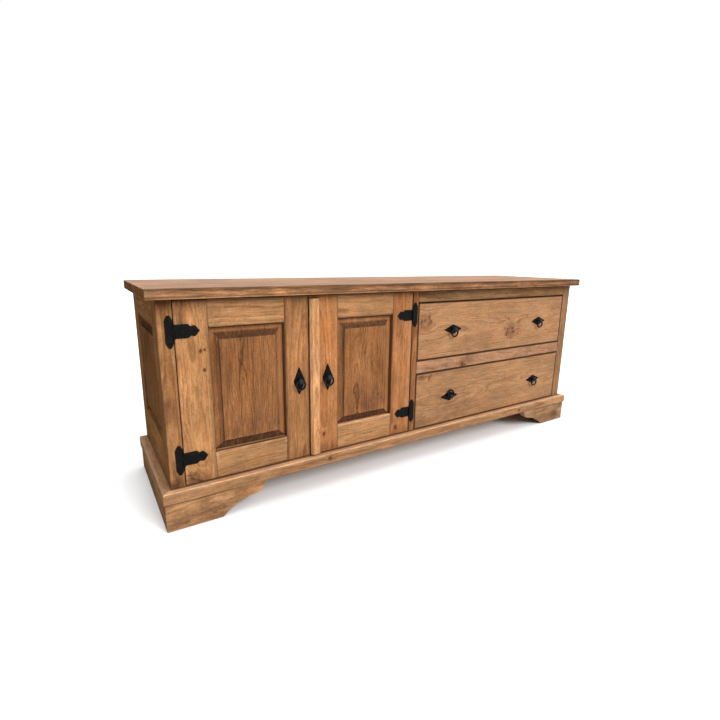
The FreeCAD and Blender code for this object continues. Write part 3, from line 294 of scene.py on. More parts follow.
def raised_panel(skin, to_point, u, z, back, tongue, tongue_t, margins, field, step_h, grain, seed=1):
    """Raised panel with a hollow slope.  to_point(u, depth, z) places a point;
    u and z are the opening, margins are (left, right, low, top) from its edge
    to the field."""
    nx = max(4, int((u[1] - u[0]) / 16))
    nz = max(4, int((z[1] - z[0]) / 20))
    ml, mr, mb, mt = margins
    lip = field + step_h
    # Each ring: place across the slope, depth, wear, and a fixed depth of stain and painted shade; the dark values at
    # the opening's edge and at the field's step are painted shadow lines.
    rings = [(-tongue, back + tongue_t, 0.0, None), (-tongue, back, 0.0, None), (-0.5, back, 0.0, 1.0)]
    for t in (0.02, 0.06, 0.09, 0.13, 0.2, 0.28, 0.36, 0.45, 0.54, 0.63, 0.72, 0.8, 0.88, 0.94, 0.98):
        rings.append((t, back - (back - lip) * t * t, 0.0, None))
    rings += [(1.0, lip, 0.0, 1.0), (1.0 + 0.001, field + 0.7, 0.35, 0.45)]

    def rect(t):
        if t < 0:
            return u[0] + t, u[1] - t, z[0] + t, z[1] - t
        return u[0] + ml * t, u[1] - mr * t, z[0] + mb * t, z[1] - mt * t

    def loop(box, depth, worn):
        x0, x1, z0, z1 = box
        pts = [(x0 + (x1 - x0) * i / nx, z0) for i in range(nx)]
        pts += [(x1, z0 + (z1 - z0) * i / nz) for i in range(nz)]
        pts += [(x1 - (x1 - x0) * i / nx, z1) for i in range(nx)]
        pts += [(x0, z1 - (z1 - z0) * i / nz) for i in range(nz)]
        ids = []
        for a, b in pts:
            p = to_point(a, depth, b)
            w = 0.12 * smooth_noise(p, 60.0, seed)
            ids.append(skin.vert(to_point(a, depth + 0.12 + w, b), worn, 0.0))
        return ids

    made = [loop(rect(t), d, w) for t, d, w, k in rings]
    tell = [(t, k) for t, d, w, k in rings]
    x0, x1, z0, z1 = rect(1.0)
    for ins, d, w, k in ((0.25, field + 0.22, 0.8, 0.25), (0.8, field, 0.55, 0.12), (4.0, field, 0.12, 0.0)):
        made.append(loop((x0 + ins, x1 - ins, z0 + ins, z1 - ins), d, w))
        tell.append((1.0, k))
    n = 2 * (nx + nz)
    sides = ["low"] * nx + ["right"] * nz + ["top"] * nx + ["left"] * nz

    def pool(mark, side):
        t, k = mark
        if k is not None:
            return k
        return 1.0 if t < 0 else along_line(PANEL_STAIN_AND_LIGHT[side], t)

    for (r0, m0), (r1, m1) in zip(list(zip(made, tell)), list(zip(made, tell))[1:]):
        for i in range(n):
            j = (i + 1) % n
            a, b = pool(m0, sides[i]), pool(m1, sides[i])
            skin.face((r0[i], r0[j], r1[j], r1[i]), grain, (a, a, b, b))
    # field: grid inside the last ring
    last = made[-1]
    x0, x1, z0, z1 = x0 + 4.0, x1 - 4.0, z0 + 4.0, z1 - 4.0
    grid = {}
    for i in range(nx + 1):
        for k in range(nz + 1):
            if k == 0 and i < nx:
                grid[i, k] = last[i]
            elif i == nx and k < nz:
                grid[i, k] = last[nx + k]
            elif k == nz and i > 0:
                grid[i, k] = last[nx + nz + (nx - i)]
            elif i == 0:
                grid[i, k] = last[2 * nx + nz + (nz - k)] if k > 0 else last[0]
            else:
                a, b = x0 + (x1 - x0) * i / nx, z0 + (z1 - z0) * k / nz
                w = 0.12 * smooth_noise(to_point(a, field, b), 60.0, seed)
                grid[i, k] = skin.vert(to_point(a, field + 0.12 + w, b))
    for i in range(nx):
        for k in range(nz):
            skin.face((grid[i, k], grid[i + 1, k], grid[i + 1, k + 1], grid[i, k + 1]), grain)
    # back
    skin.face(tuple(reversed(made[0])), grain)
    return skin


def build(name, skin, mats, body, nodes, weighted=True):
    mesh = bpy.data.meshes.new(name)
    mesh.from_pydata([row(p) for p in skin.co], [], skin.faces)
    mesh.validate()
    gv, tv, dv = [], [], []
    for poly in mesh.polygons:
        m, pools = skin.maps[poly.index], skin.pools[poly.index]
        for k, li in enumerate(poly.loop_indices):
            v = mesh.loops[li].vertex_index
            gv += m(skin.co[v])
            tv.append(m.tone)
            dv.append(skin.stain_and_painted_light[v] if pools is None else pools[k])
    mesh.attributes.new("grain", "FLOAT_VECTOR", "CORNER").data.foreach_set("vector", gv)
    mesh.attributes.new("tone", "FLOAT", "CORNER").data.foreach_set("value", tv)
    # Depth of dark stain and painted shade per corner; below 0 a painted highlight.
    mesh.attributes.new("stain_and_painted_light", "FLOAT", "CORNER").data.foreach_set("value", dv)
    mesh.attributes.new("worn", "FLOAT", "POINT").data.foreach_set("value", skin.worn)
    mesh.polygons.foreach_set("use_smooth", [True] * len(mesh.polygons))
    mesh.polygons.foreach_set("material_index", skin.mats)
    mesh.set_sharp_from_angle(angle=math.radians(42))
    for m in mats if isinstance(mats, (list, tuple)) else [mats]:
        mesh.materials.append(m)
    obj = bpy.data.objects.new(name, mesh)
    bpy.context.scene.collection.objects.link(obj)
    if weighted:
        wn = obj.modifiers.new("even_faces", "WEIGHTED_NORMAL")
        wn.mode = "FACE_AREA"
        wn.weight = 50
        wn.keep_sharp = True
    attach(obj, body)
    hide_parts(*nodes)
    return obj


# ----------------------------------------------------------------- materials
class Tree:
    """Short names for making shader nodes."""

    def __init__(self, name):
        self.mat = bpy.data.materials.new(name)
        self.mat.use_nodes = True
        self.t = self.mat.node_tree
        self.t.nodes.clear()
        self.out = self.t.nodes.new("ShaderNodeOutputMaterial")
        self.bsdf = self.t.nodes.new("ShaderNodeBsdfPrincipled")
        self.t.links.new(self.bsdf.outputs[0], self.out.inputs[0])

    def put(self, socket, value):
        if isinstance(value, bpy.types.NodeSocket):
            self.t.links.new(value, socket)
        elif value is not None:
            if socket.type == "RGBA" and len(value) == 3:
                value = (*value, 1.0)
            socket.default_value = value

    def math(self, op, a, b=None, c=None, clamp=False):
        n = self.t.nodes.new("ShaderNodeMath")
        n.operation, n.use_clamp = op, clamp
        for s, v in zip(n.inputs, (a, b, c)):
            self.put(s, v)
        return n.outputs[0]

    def vec(self, op, a, b=None, out=0):
        n = self.t.nodes.new("ShaderNodeVectorMath")
        n.operation = op
        self.put(n.inputs[0], a)
        if b is not None:
            self.put(n.inputs[1], b)
        return n.outputs["Value"] if op in ("LENGTH", "DISTANCE", "DOT_PRODUCT") else n.outputs[0]

    def noise(self, vec, scale=1.0, detail=2.0, rough=0.5, dist=0.0, dims="3D", w=None, color=False):
        n = self.t.nodes.new("ShaderNodeTexNoise")
        n.noise_dimensions = dims
        if vec is not None and dims != "1D":
            self.put(n.inputs["Vector"], vec)
        if w is not None:
            self.put(n.inputs["W"], w)
        n.inputs["Scale"].default_value = scale
        n.inputs["Detail"].default_value = detail
        n.inputs["Roughness"].default_value = rough
        n.inputs["Distortion"].default_value = dist
        return n.outputs["Color" if color else 0]

    def white(self, w):
        n = self.t.nodes.new("ShaderNodeTexWhiteNoise")
        n.noise_dimensions = "1D"
        self.put(n.inputs["W"], w)
        return n.outputs["Value"]

    def span(self, v, a, b, c, d, smooth=False):
        n = self.t.nodes.new("ShaderNodeMapRange")
        n.clamp = True
        if smooth:
            n.interpolation_type = "SMOOTHSTEP"
        for s, x in zip(n.inputs[:5], (v, a, b, c, d)):
            self.put(s, x)
        return n.outputs[0]

    def ramp(self, fac, stops, mode="LINEAR"):
        n = self.t.nodes.new("ShaderNodeValToRGB")
        n.color_ramp.interpolation = mode
        els = n.color_ramp.elements
        while len(els) < len(stops):
            els.new(0.5)
        for e, (pos, col) in zip(els, stops):
            e.position = pos
            e.color = (*col, 1.0) if len(col) == 3 else col
        self.put(n.inputs[0], fac)
        return n.outputs[0]

    def mix(self, fac, a, b, blend="MIX"):
        n = self.t.nodes.new("ShaderNodeMix")
        n.data_type, n.blend_type = "RGBA", blend
        n.clamp_factor = True
        self.put(n.inputs[0], fac)
        self.put(n.inputs[6], a)
        self.put(n.inputs[7], b)
        return n.outputs[2]

    def attr(self, name, vector=False):
        n = self.t.nodes.new("ShaderNodeAttribute")
        n.attribute_name = name
        return n.outputs["Vector" if vector else "Fac"]

    def object_co(self):
        n = self.t.nodes.new("ShaderNodeTexCoord")
        return n.outputs["Object"]

    def bump(self, height, strength, distance, normal=None):
        n = self.t.nodes.new("ShaderNodeBump")
        n.inputs["Strength"].default_value = strength
        n.inputs["Distance"].default_value = distance
        self.put(n.inputs["Height"], height)
        if normal is not None:
            self.put(n.inputs["Normal"], normal)
        return n.outputs[0]

    def shade(self, **values):
        for key, v in values.items():
            self.put(self.bsdf.inputs[key.replace("_", " ")], v)
        return self.mat


def g3(v):
    return (v, v, v)


def pine(name, early, late, ring=0.0056, figure=0.72, wander=0.02, ripple=0.0011, blotch=0.27, rough=0.5,
         coat=0.0, spec=0.05, knots=(), burls=(), strokes=(), smudges=(), axis=None, worn=0.12,
         dark=(0.042, 0.017, 0.008), tone=0.09, fleck=0.4, uneven=0.2, fine=0.26, hue=0.75,
         streaks=0.34, dust=0.2, ink=(0.076, 0.031, 0.014)):
    """Stained pine.  Growth rings round a wandering pith, fine fibre, resin
    flecks, uneven stain, knots and burls that the rings flow round, dark
    strokes and smudges, worn edges, and dark stain lying in the corners with
    painted shade in gaps, recesses and under the overhang; where the depth of
    stain is below 0 the wood is painted lighter as a painted highlight.  Wood
    space comes from the piece's own grain data, or from the object's axes where
    axis names the grain.
    knots: (centre, radius, stretch); burls: (centre, radius);
    strokes: (x, z, degrees, half length, half width, amount);
    smudges: (centre, radius, stretch, amount)."""
    t = Tree(name)
    if axis is None:
        g = t.attr("grain", vector=True)
    else:
        n = t.t.nodes.new("ShaderNodeSeparateXYZ")
        t.put(n.inputs[0], t.object_co())
        order = {"x": (1, 2, 0), "y": (0, 2, 1), "z": (0, 1, 2)}[axis]
        c = t.t.nodes.new("ShaderNodeCombineXYZ")
        for k, o in enumerate(order):
            t.put(c.inputs[k], n.outputs[o])
        g = t.vec("ADD", c.outputs[0], (0.013, 0.047, 4.3))

    def drift(scale, size, detail=1.0):
        n = t.noise(t.vec("MULTIPLY", g, scale), 1.0, detail, 0.5, color=True)
        return t.vec("MULTIPLY", t.vec("SUBTRACT", n, g3(0.5)), g3(size))

    wv = t.vec("ADD", drift((8.0, 8.0, 2.1), wander * 2.2, 2.0), drift((34.0, 34.0, 7.0), wander * 0.33))
    wv = t.vec("ADD", wv, drift((26.0, 26.0, 30.0), ripple * 2.0, 2.0))
    rad = t.vec("LENGTH", t.vec("MULTIPLY", t.vec("ADD", g, wv), (1.0, 1.0, 0.0)))
    p = t.object_co() if (knots or burls or strokes or smudges) else None
    jag = t.noise(t.vec("MULTIPLY", p, g3(95.0)), 1.0, 2.0, 0.5) if p is not None else None
    spot = None
    for centre, kr, stretch in knots:
        d = t.vec("MULTIPLY", t.vec("SUBTRACT", p, tuple(row(centre))), stretch)
        dist = t.math("MULTIPLY", t.vec("LENGTH", d), t.span(jag, 0.2, 0.8, 0.86, 1.16))
        rad = t.math("ADD", rad, t.span(dist, 0.0, kr * 4.6 * MM, kr * 1.5 * MM, 0.0, smooth=True))
        r = t.math("DIVIDE", dist, kr * MM)
        spot = r if spot is None else t.math("MINIMUM", spot, r)
    halo = None
    for centre, kr in burls:
        d = t.math("DIVIDE", t.vec("LENGTH", t.vec("SUBTRACT", p, tuple(row(centre)))), kr * MM)
        rad = t.math("ADD", rad, t.span(d, 0.0, 2.2, kr * 0.5 * MM, 0.0, smooth=True))
        h = t.span(d, 0.2, 1.5, 0.3, 0.0, smooth=True)
        halo = h if halo is None else t.math("MAXIMUM", halo, h)
    phase = t.math("ADD", t.math("DIVIDE", rad, ring),
                   t.math("MULTIPLY", t.noise(None, 1.0, 1.0, 0.5, dims="1D",
                                              w=t.math("MULTIPLY", rad, 61.0)), 2.4))
    fr = t.math("FRACT", phase)
    late_f = t.ramp(fr, [(0.0, g3(0.34)), (0.1, g3(0.02)), (0.42, g3(0.13)), (0.72, g3(0.52)),
                         (0.9, g3(1.0)), (0.985, g3(0.72)), (1.0, g3(0.34))])
    force = t.span(t.white(t.math("FLOOR", phase)), 0.0, 1.0, 0.2, 1.0)
    rings = t.math("MULTIPLY", late_f, force)
    fib = t.noise(t.vec("MULTIPLY", g, (520.0, 520.0, 14.0)), 1.0, 2.0, 0.6)
    grit = t.noise(t.vec("MULTIPLY", g, (380.0, 380.0, 34.0)), 1.0, 3.0, 0.6)
    streak = t.noise(t.vec("MULTIPLY", g, (120.0, 120.0, 4.0)), 1.0, 3.0, 0.62)
    stain = t.noise(t.vec("MULTIPLY", g, (48.0, 48.0, 15.0)), 1.0, 4.0, 0.64)
    grime = t.noise(t.vec("MULTIPLY", g, (300.0, 300.0, 210.0)), 1.0, 2.0, 0.6)
    cloud = t.noise(t.vec("MULTIPLY", g, (10.0, 10.0, 5.0)), 1.0, 3.0, 0.55)
    turn = t.noise(t.vec("ADD", t.vec("MULTIPLY", g, (30.0, 30.0, 13.0)), (7.3, 2.1, 5.5)), 1.0, 4.0, 0.66)
    tick = t.noise(t.vec("MULTIPLY", g, (620.0, 620.0, 48.0)), 1.0, 1.0, 0.5)
    ticks = t.span(tick, 0.62, 0.74, 0.0, fleck)
    speck = t.noise(t.vec("MULTIPLY", g, (230.0, 230.0, 90.0)), 1.0, 1.0, 0.5)
    specks = t.math("MULTIPLY", t.span(speck, 0.67, 0.77, 0.0, fleck), t.span(cloud, 0.42, 0.6, 0.2, 1.0))
    body = t.math("ADD", t.math("MULTIPLY", rings, figure),
                  t.span(streak, 0.3, 0.72, -0.5 * streaks, 0.75 * streaks), clamp=True)
    col = t.mix(body, early, late)
    col = t.mix(hue, col, t.ramp(turn, [(0.32, (1.1, 0.955, 0.79)), (0.5, (1.0, 1.0, 1.0)), (0.68, (0.95, 0.99, 1.0))]),
                "MULTIPLY")
    light = t.math("MULTIPLY", t.span(cloud, 0.3, 0.7, 1.0 - blotch, 1.0 + blotch * 0.6),
                   t.span(fib, 0.25, 0.75, 0.86, 1.11))
    light = t.math("MULTIPLY", light, t.span(stain, 0.3, 0.68, 1.0 - uneven, 1.0 + uneven * 0.6))
    light = t.math("MULTIPLY", light, t.span(grit, 0.28, 0.72, 1.0 - fine, 1.0 + fine * 0.7))
    light = t.math("MULTIPLY", light, t.span(grime, 0.28, 0.72, 1.0 - dust, 1.0 + dust * 0.8))
    if axis is None:
        light = t.math("MULTIPLY", light, t.math("MULTIPLY_ADD", t.attr("tone"), tone, 1.0))
    lit = t.t.nodes.new("ShaderNodeCombineXYZ")
    for s in lit.inputs:
        t.put(s, light)
    col = t.mix(1.0, col, lit.outputs[0], "MULTIPLY")
    col = t.mix(t.math("MAXIMUM", ticks, specks), col, dark)
    for centre, size, stretch, amount in smudges:
        d = t.vec("MULTIPLY", t.vec("SUBTRACT", p, tuple(row(centre))), stretch)
        reach = t.math("MULTIPLY", t.math("DIVIDE", t.vec("LENGTH", d), size * MM), t.span(jag, 0.2, 0.8, 0.6, 1.4))
        hold = t.math("MULTIPLY", t.span(reach, 0.15, 1.0, amount, 0.0, smooth=True),
                      t.span(stain, 0.34, 0.64, 1.0, 0.35))
        col = t.mix(hold, col, tuple(c * 1.7 for c in dark))
    if halo is not None:
        col = t.mix(halo, col, ink)
    if strokes:
        bent = t.noise(t.vec("MULTIPLY", p, g3(120.0)), 1.0, 2.0, 0.5, color=True)
        bent = t.vec("ADD", p, t.vec("MULTIPLY", t.vec("SUBTRACT", bent, g3(0.5)), g3(0.008)))
        drawn = None
        for x, z, deg, hl, hw, amount in strokes:
            ce, se = math.cos(math.radians(deg)), math.sin(math.radians(deg))
            d = t.vec("SUBTRACT", bent, tuple(row((x, 0.0, z))))
            a = t.math("DIVIDE", t.vec("DOT_PRODUCT", d, (ce, 0.0, se)), hl * MM)
            b = t.math("DIVIDE", t.vec("DOT_PRODUCT", d, (-se, 0.0, ce)), hw * MM)
            q = t.math("ADD", t.math("MULTIPLY", a, a), t.math("MULTIPLY", b, b))
            q = t.span(q, 0.2, 1.0, amount, 0.0, smooth=True)
            drawn = q if drawn is None else t.math("MAXIMUM", drawn, q)
        col = t.mix(drawn, col, ink)
    if spot is not None:
        col = t.mix(t.span(spot, 1.0, 2.3, 0.5, 0.0, smooth=True), col, (0.5, 0.34, 0.26), "MULTIPLY")
        heart = t.ramp(t.math("DIVIDE", spot, 1.25), [(0.0, (0.03, 0.011, 0.006)), (0.2, (0.08, 0.026, 0.011)),
                                 (0.52, (0.09, 0.03, 0.013)), (0.74, (0.03, 0.011, 0.006)), (0.92, (0.05, 0.018, 0.009))])
        col = t.mix(t.span(spot, 0.9, 1.16, 0.94, 0.0, smooth=True), col, heart)
    if axis is None:
        chip = t.noise(t.vec("MULTIPLY", g, (160.0, 160.0, 30.0)), 1.0, 3.0, 0.6)
        # Rubbed edges are lightened; where a piece rubs an edge much harder, as on the doors' low rails, this is a
        # painted highlight.
        rub = t.math("MULTIPLY", t.attr("worn"), t.span(chip, 0.32, 0.62, 0.0, worn))
        col = t.mix(rub, col, t.mix(0.5, early, (0.8, 0.55, 0.34)))
        comb = t.noise(t.vec("MULTIPLY", g, (240.0, 240.0, 3.0)), 1.0, 2.0, 0.6)
        # Below 0 the depth lightens the wood, a painted highlight; above 0 it mixes in the dark stain, which in gaps,
        # recesses and under the overhang is painted shade.
        stain_and_painted_light = t.attr("stain_and_painted_light")
        col = t.mix(t.math("MULTIPLY", stain_and_painted_light, -1.0, clamp=True), col, tuple(min(1.0, c * 1.5) for c in early))
        pool = t.math("MULTIPLY", stain_and_painted_light, t.span(comb, 0.34, 0.64, 0.6, 0.88), clamp=True)
        col = t.mix(pool, col, dark)
    height = t.math("ADD", t.math("MULTIPLY", rings, 0.55), t.math("MULTIPLY", fib, 0.75))
    height = t.math("SUBTRACT", height, t.math("MULTIPLY", ticks, 0.9))
    if spot is not None:
        height = t.math("SUBTRACT", height, t.span(spot, 0.6, 1.1, 0.8, 0.0))
    gloss = t.math("ADD", t.span(fib, 0.2, 0.8, rough - 0.06, rough + 0.08),
                   t.math("MULTIPLY", rings, -0.05))
    return t.shade(Base_Color=col, Roughness=gloss, Normal=t.bump(height, 0.3, 0.0005),
                   Coat_Weight=coat, Coat_Roughness=0.34, Specular_IOR_Level=spec)


def iron(name, base=(0.0026, 0.0031, 0.0036), spec=0.12, proud=None,
         painted_glint=(0.014, 0.019, 0.027)):
    """Black hammered iron: shallow dents, grey rubbed spots, waxy sheen.  What
    stands out further than proud (mm in front of the face) is given a painted
    bluish-grey reflection in its colour and a smoother finish."""
    t = Tree(name)
    p = t.object_co()
    v = t.t.nodes.new("ShaderNodeTexVoronoi")
    v.feature = "SMOOTH_F1"
    t.put(v.inputs["Vector"], t.vec("ADD", p, t.vec("MULTIPLY", t.noise(p, 160.0, 1.0, color=True), g3(0.002))))
    v.inputs["Scale"].default_value = 190.0
    v.inputs["Smoothness"].default_value = 0.7
    dent = v.outputs["Distance"]
    fine = t.noise(p, 900.0, 3.0, 0.6)
    big = t.noise(p, 75.0, 2.0, 0.5)
    rub = t.math("MULTIPLY", t.span(big, 0.5, 0.72, 0.0, 1.0), t.span(fine, 0.42, 0.66, 0.0, 0.6))
    col = t.mix(rub, t.mix(fine, tuple(c * 0.75 for c in base), tuple(c * 1.5 for c in base)),
                (0.014, 0.016, 0.019))
    rough = t.span(fine, 0.2, 0.8, 0.44, 0.62)
    # Painted reflection: the parts standing proud are coloured a bluish-grey glint.
    if proud is not None:
        n = t.t.nodes.new("ShaderNodeSeparateXYZ")
        t.put(n.inputs[0], p)
        y = row((0.0, -proud, 0.0)).y
        out = t.span(n.outputs[1], y, y - 0.0015, 0.0, 1.0)
        col = t.mix(out, col, t.mix(fine, tuple(c * 0.7 for c in painted_glint), tuple(c * 1.3 for c in painted_glint)))
        rough = t.math("SUBTRACT", rough, t.math("MULTIPLY", out, 0.16))
    height = t.math("ADD", t.math("MULTIPLY", dent, 1.0), t.math("MULTIPLY", fine, 0.16))
    return t.shade(Base_Color=col, Metallic=0.0, Roughness=rough,
                   Normal=t.bump(height, 0.55, 0.0011), Specular_IOR_Level=spec)


def plastic(name, base):
    t = Tree(name)
    p = t.object_co()
    f = t.noise(p, 1400.0, 2.0, 0.6)
    col = t.mix(t.span(f, 0.3, 0.7, 0.0, 1.0), tuple(c * 0.9 for c in base), tuple(min(1, c * 1.08) for c in base))
    return t.shade(Base_Color=col, Roughness=t.span(f, 0.2, 0.8, 0.4, 0.55), Normal=t.bump(f, 0.15, 0.0003))


def steel(name):
    t = Tree(name)
    p = t.vec("MULTIPLY", t.object_co(), (60.0, 900.0, 900.0))
    f = t.noise(p, 1.0, 2.0, 0.6)
    col = t.mix(f, (0.34, 0.34, 0.35), (0.5, 0.5, 0.51))
    return t.shade(Base_Color=col, Metallic=1.0, Roughness=t.span(f, 0.2, 0.8, 0.3, 0.46),
                   Normal=t.bump(f, 0.1, 0.0002))


# Colours are linear.
HONEY, BROWN = (0.435, 0.212, 0.084), (0.2, 0.08, 0.025)
F = (1.0, 0.12, 0.72)          # knot on a face looking forward, upright grain
FH = (0.72, 0.12, 1.0)         # the same, grain running across

frame_wood = pine("pine_frame_wood", (0.412, 0.212, 0.091), (0.188, 0.0795, 0.027))
# Darker copy for the middle stile: painted shade; the cover strip's end grain uses it too.
stile_wood_shaded = pine("pine_middle_stile_painted_shade", (0.262, 0.113, 0.043), (0.12, 0.042, 0.013), spec=0.0)
# Darker copy for the drawer top rail: painted shade under the top's overhang.
rail_wood_shaded = pine("pine_drawer_top_rail_painted_shade", (0.222, 0.119, 0.056), (0.102, 0.045, 0.0168), spec=0.0)
mid_wood = pine("pine_middle_rail_wood", (0.33, 0.172, 0.09), (0.17, 0.077, 0.0355),
                burls=[((996, 0, 318), 15)],
                strokes=[(996, 316, 100, 11, 8.0, 1.0), (1004, 312, 20, 14, 5.0, 0.9), (920, 319, 80, 6, 3.0, 0.45),
                         (935, 318, 90, 5, 2.5, 0.4)],
                smudges=[((1010, 0, 322), 34, (0.55, 0.1, 1.1), 0.5), ((870, 0, 330), 40, (0.4, 0.1, 1.2), 0.3),
                         ((1380, 0, 328), 300, (1.0, 0.1, 1.0), 0.26)])
post_wood = pine("pine_post_wood", (0.338, 0.162, 0.065), (0.154, 0.061, 0.019), spec=0.0, coat=0.0,
                 smudges=[((24, 0, 118), 34, (1.2, 0.3, 0.8), 0.95), ((8, 0, 112), 24, (1.2, 0.3, 1.0), 0.8), ((18, 0, 310), 40, (1.5, 0.3, 0.6), 0.7),
                          ((2, 0, 250), 60, (3.0, 0.3, 0.4), 0.4), ((2, 0, 480), 60, (3.0, 0.3, 0.4), 0.5)])
far_post_wood = pine("pine_right_post_wood", (0.25, 0.132, 0.058), (0.116, 0.051, 0.0182), spec=0.06, coat=0.0,
                     smudges=[((1585, 0, 330), 90, (1.0, 0.3, 0.6), 0.35), ((1585, 0, 560), 40, (1.0, 0.3, 0.8), 0.4)])
# Darker copies for the side boards and panels: painted shade, the sides made darker than the fronts.
side_wood_shaded = pine("pine_side_wood_painted_shade", (0.182, 0.089, 0.035), (0.085, 0.035, 0.0115), spec=0.0, coat=0.0)
side_panel_wood_shaded = pine("pine_side_panel_painted_shade", (0.128, 0.06, 0.0235), (0.06, 0.023, 0.0074), ring=0.0066, figure=0.85,
                       wander=0.03, ripple=0.0022, worn=0.1, spec=0.0, coat=0.0, dark=(0.03, 0.013, 0.0075))
strip_wood = pine("pine_cover_strip_wood", (0.52, 0.265, 0.114), (0.26, 0.11, 0.038))
panel_wood = pine("pine_panel_wood", (0.27, 0.117, 0.0455), (0.102, 0.0375, 0.0125), ring=0.0048, figure=0.86,
                  wander=0.034, ripple=0.0036, worn=0.1, spec=0.0, coat=0.0, dark=(0.033, 0.016, 0.011), streaks=0.5,
                  smudges=[((190, 0, 225), 60, (0.7, 0.1, 1.3), 0.35), ((235, 0, 238), 60, (0.9, 0.1, 1.0), 0.3),
                           ((520, 0, 235), 40, (1.0, 0.1, 0.8), 0.25), ((645, 0, 235), 40, (1.0, 0.1, 0.8), 0.3), ((150, 0, 300), 50, (1.6, 0.1, 0.5), 0.3),
                           ((600, 0, 240), 60, (0.8, 0.1, 1.1), 0.35), ((560, 0, 300), 40, (1.2, 0.1, 0.8), 0.3)])
drawer_up = pine("pine_upper_drawer_wood", (0.358, 0.187, 0.087), (0.19, 0.082, 0.032), wander=0.03, ink=(0.096, 0.034, 0.017),
                 uneven=0.12, blotch=0.2, streaks=0.26, fine=0.22,
                 burls=[((1243, 0, 417), 26), ((812, 0, 472), 32)],
                 strokes=[(1222, 407, 60, 12.1, 7.2, 0.85), (1227, 420, 100, 9.9, 5.9, 0.81), (1210, 431, 150, 11, 4.5, 0.61),
                          (1262, 413, 170, 13.2, 7.2, 0.85), (1257, 427, 60, 11, 6.5, 0.81), (1290, 422, 15, 12.1, 4.2, 0.55),
                          (1288, 404, 165, 12.1, 4.2, 0.55), (1249, 392, 95, 9.9, 4.7, 0.52), (1231, 396, 65, 8.8, 4.7, 0.55),
                          (1229, 465, 100, 8.8, 5.9, 0.61), (1190, 455, 12, 35.2, 3.9, 0.48), (1293, 453, 70, 14.3, 8.5, 0.44),
                          (1339, 472, 20, 13.2, 4.2, 0.44),
                          (811, 484, 60, 7.7, 5.9, 0.85), (798, 479, 80, 13.2, 7.2, 0.73), (831, 494, 75, 13.2, 6.5, 0.73),
                          (837, 480, 110, 11, 6.5, 0.73), (830, 472, 60, 8.8, 5.2, 0.61), (800, 464, 50, 11, 4.2, 0.48)],
                 smudges=[((818, 0, 482), 38, (0.8, 0.1, 1.0), 0.4), ((1265, 0, 420), 60, (0.7, 0.1, 1.1), 0.25), ((1242, 0, 413), 36, (0.85, 0.1, 1.0), 0.5),
                          ((1090, 0, 380), 70, (0.4, 0.1, 1.2), 0.2), ((1545, 0, 445), 100, (1.0, 0.1, 0.55), 0.3)])
drawer_lo = pine("pine_lower_drawer_wood", (0.331, 0.174, 0.081), (0.174, 0.0765, 0.03), wander=0.03,
                 uneven=0.12, blotch=0.2, streaks=0.26, fine=0.24,
                 strokes=[(843, 282, 80, 11, 5.0, 0.7), (849, 291, 40, 8, 3.6, 0.65), (806, 293, 8, 15, 4.5, 0.7),
                          (877, 294, 20, 8, 3.4, 0.5), (800, 270, 40, 9, 3.6, 0.4), (1380, 270, 40, 7, 2.5, 0.4)],
                 smudges=[((842, 0, 286), 20, (1.0, 0.1, 1.0), 0.6), ((806, 0, 289), 26, (0.7, 0.1, 1.2), 0.6),
                          ((1000, 0, 150), 70, (0.35, 0.1, 1.2), 0.3), ((800, 0, 130), 50, (0.8, 0.1, 0.8), 0.3)])
TOP = dict(worn=0.4, tone=0.16)
top_wood = pine("pine_top_wood", (0.418, 0.216, 0.104), (0.205, 0.0875, 0.034), rough=0.42, coat=0.0, spec=0.22,
                smudges=[((60, 200, 609), 460, (1.0, 1.0, 1.0), 0.22)],
                figure=1.0, blotch=0.22, uneven=0.2, streaks=0.36, wander=0.04, ripple=0.002, ring=0.0075, **TOP)
top_edge_wood = pine("pine_top_edge_wood", (0.465, 0.231, 0.104), (0.208, 0.0845, 0.031), figure=1.2, blotch=0.4,
                     uneven=0.42, streaks=0.7, smudges=[((1250, -27, 596), 700, (1.0, 20.0, 1.0), 0.62)],
                     strokes=[(18, 598, 8, 34, 2.2, 0.5), (70, 604, -5, 40, 2.0, 0.5), (96, 590, 6, 46, 2.4, 0.5),
                              (176, 601, -7, 44, 2.2, 0.55), (236, 592, 5, 52, 2.4, 0.45), (318, 603, -5, 52, 2.2, 0.55),
                              (352, 590, -4, 60, 2.4, 0.5), (470, 599, 5, 66, 2.4, 0.45), (588, 591, -3, 70, 2.4, 0.45),
                              (720, 602, 3, 80, 2.4, 0.45), (905, 592, -3, 90, 2.6, 0.4), (1120, 600, 3, 100, 2.6, 0.4),
                              (1390, 594, -2, 110, 2.6, 0.35)], **TOP)
# Darker copy for the top's ends and underside: end grain takes the stain darker, and the rest of its darkness is
# painted shade.
top_end_wood = pine("pine_top_end_wood", (0.23, 0.112, 0.046), (0.107, 0.042, 0.0146), coat=0.0, spec=0.0, uneven=0.35, **TOP)
plinth_wood = pine("pine_plinth_wood", (0.286, 0.146, 0.0645), (0.137, 0.0575, 0.0205), worn=0.3,
                   smudges=[((330, -20, 90), 130, (1.0, 0.1, 1.0), 0.3)],
                   knots=[((445, -20, 93), 4.0, FH), ((1316, -20, 90), 5.0, FH)])
# Lighter copies for the mouldings' upper faces: a painted highlight, the upward faces made brighter than the fronts.
front_plinth_top_lit = pine("pine_plinth_upper_painted_highlight", (0.52, 0.285, 0.15), (0.28, 0.13, 0.057), worn=0.3, rough=0.42,
                       spec=0.22)
side_plinth_top_lit = pine("pine_side_plinth_upper_painted_light", (0.34, 0.19, 0.096), (0.17, 0.079, 0.033), worn=0.3,
                            rough=0.45, spec=0.05)
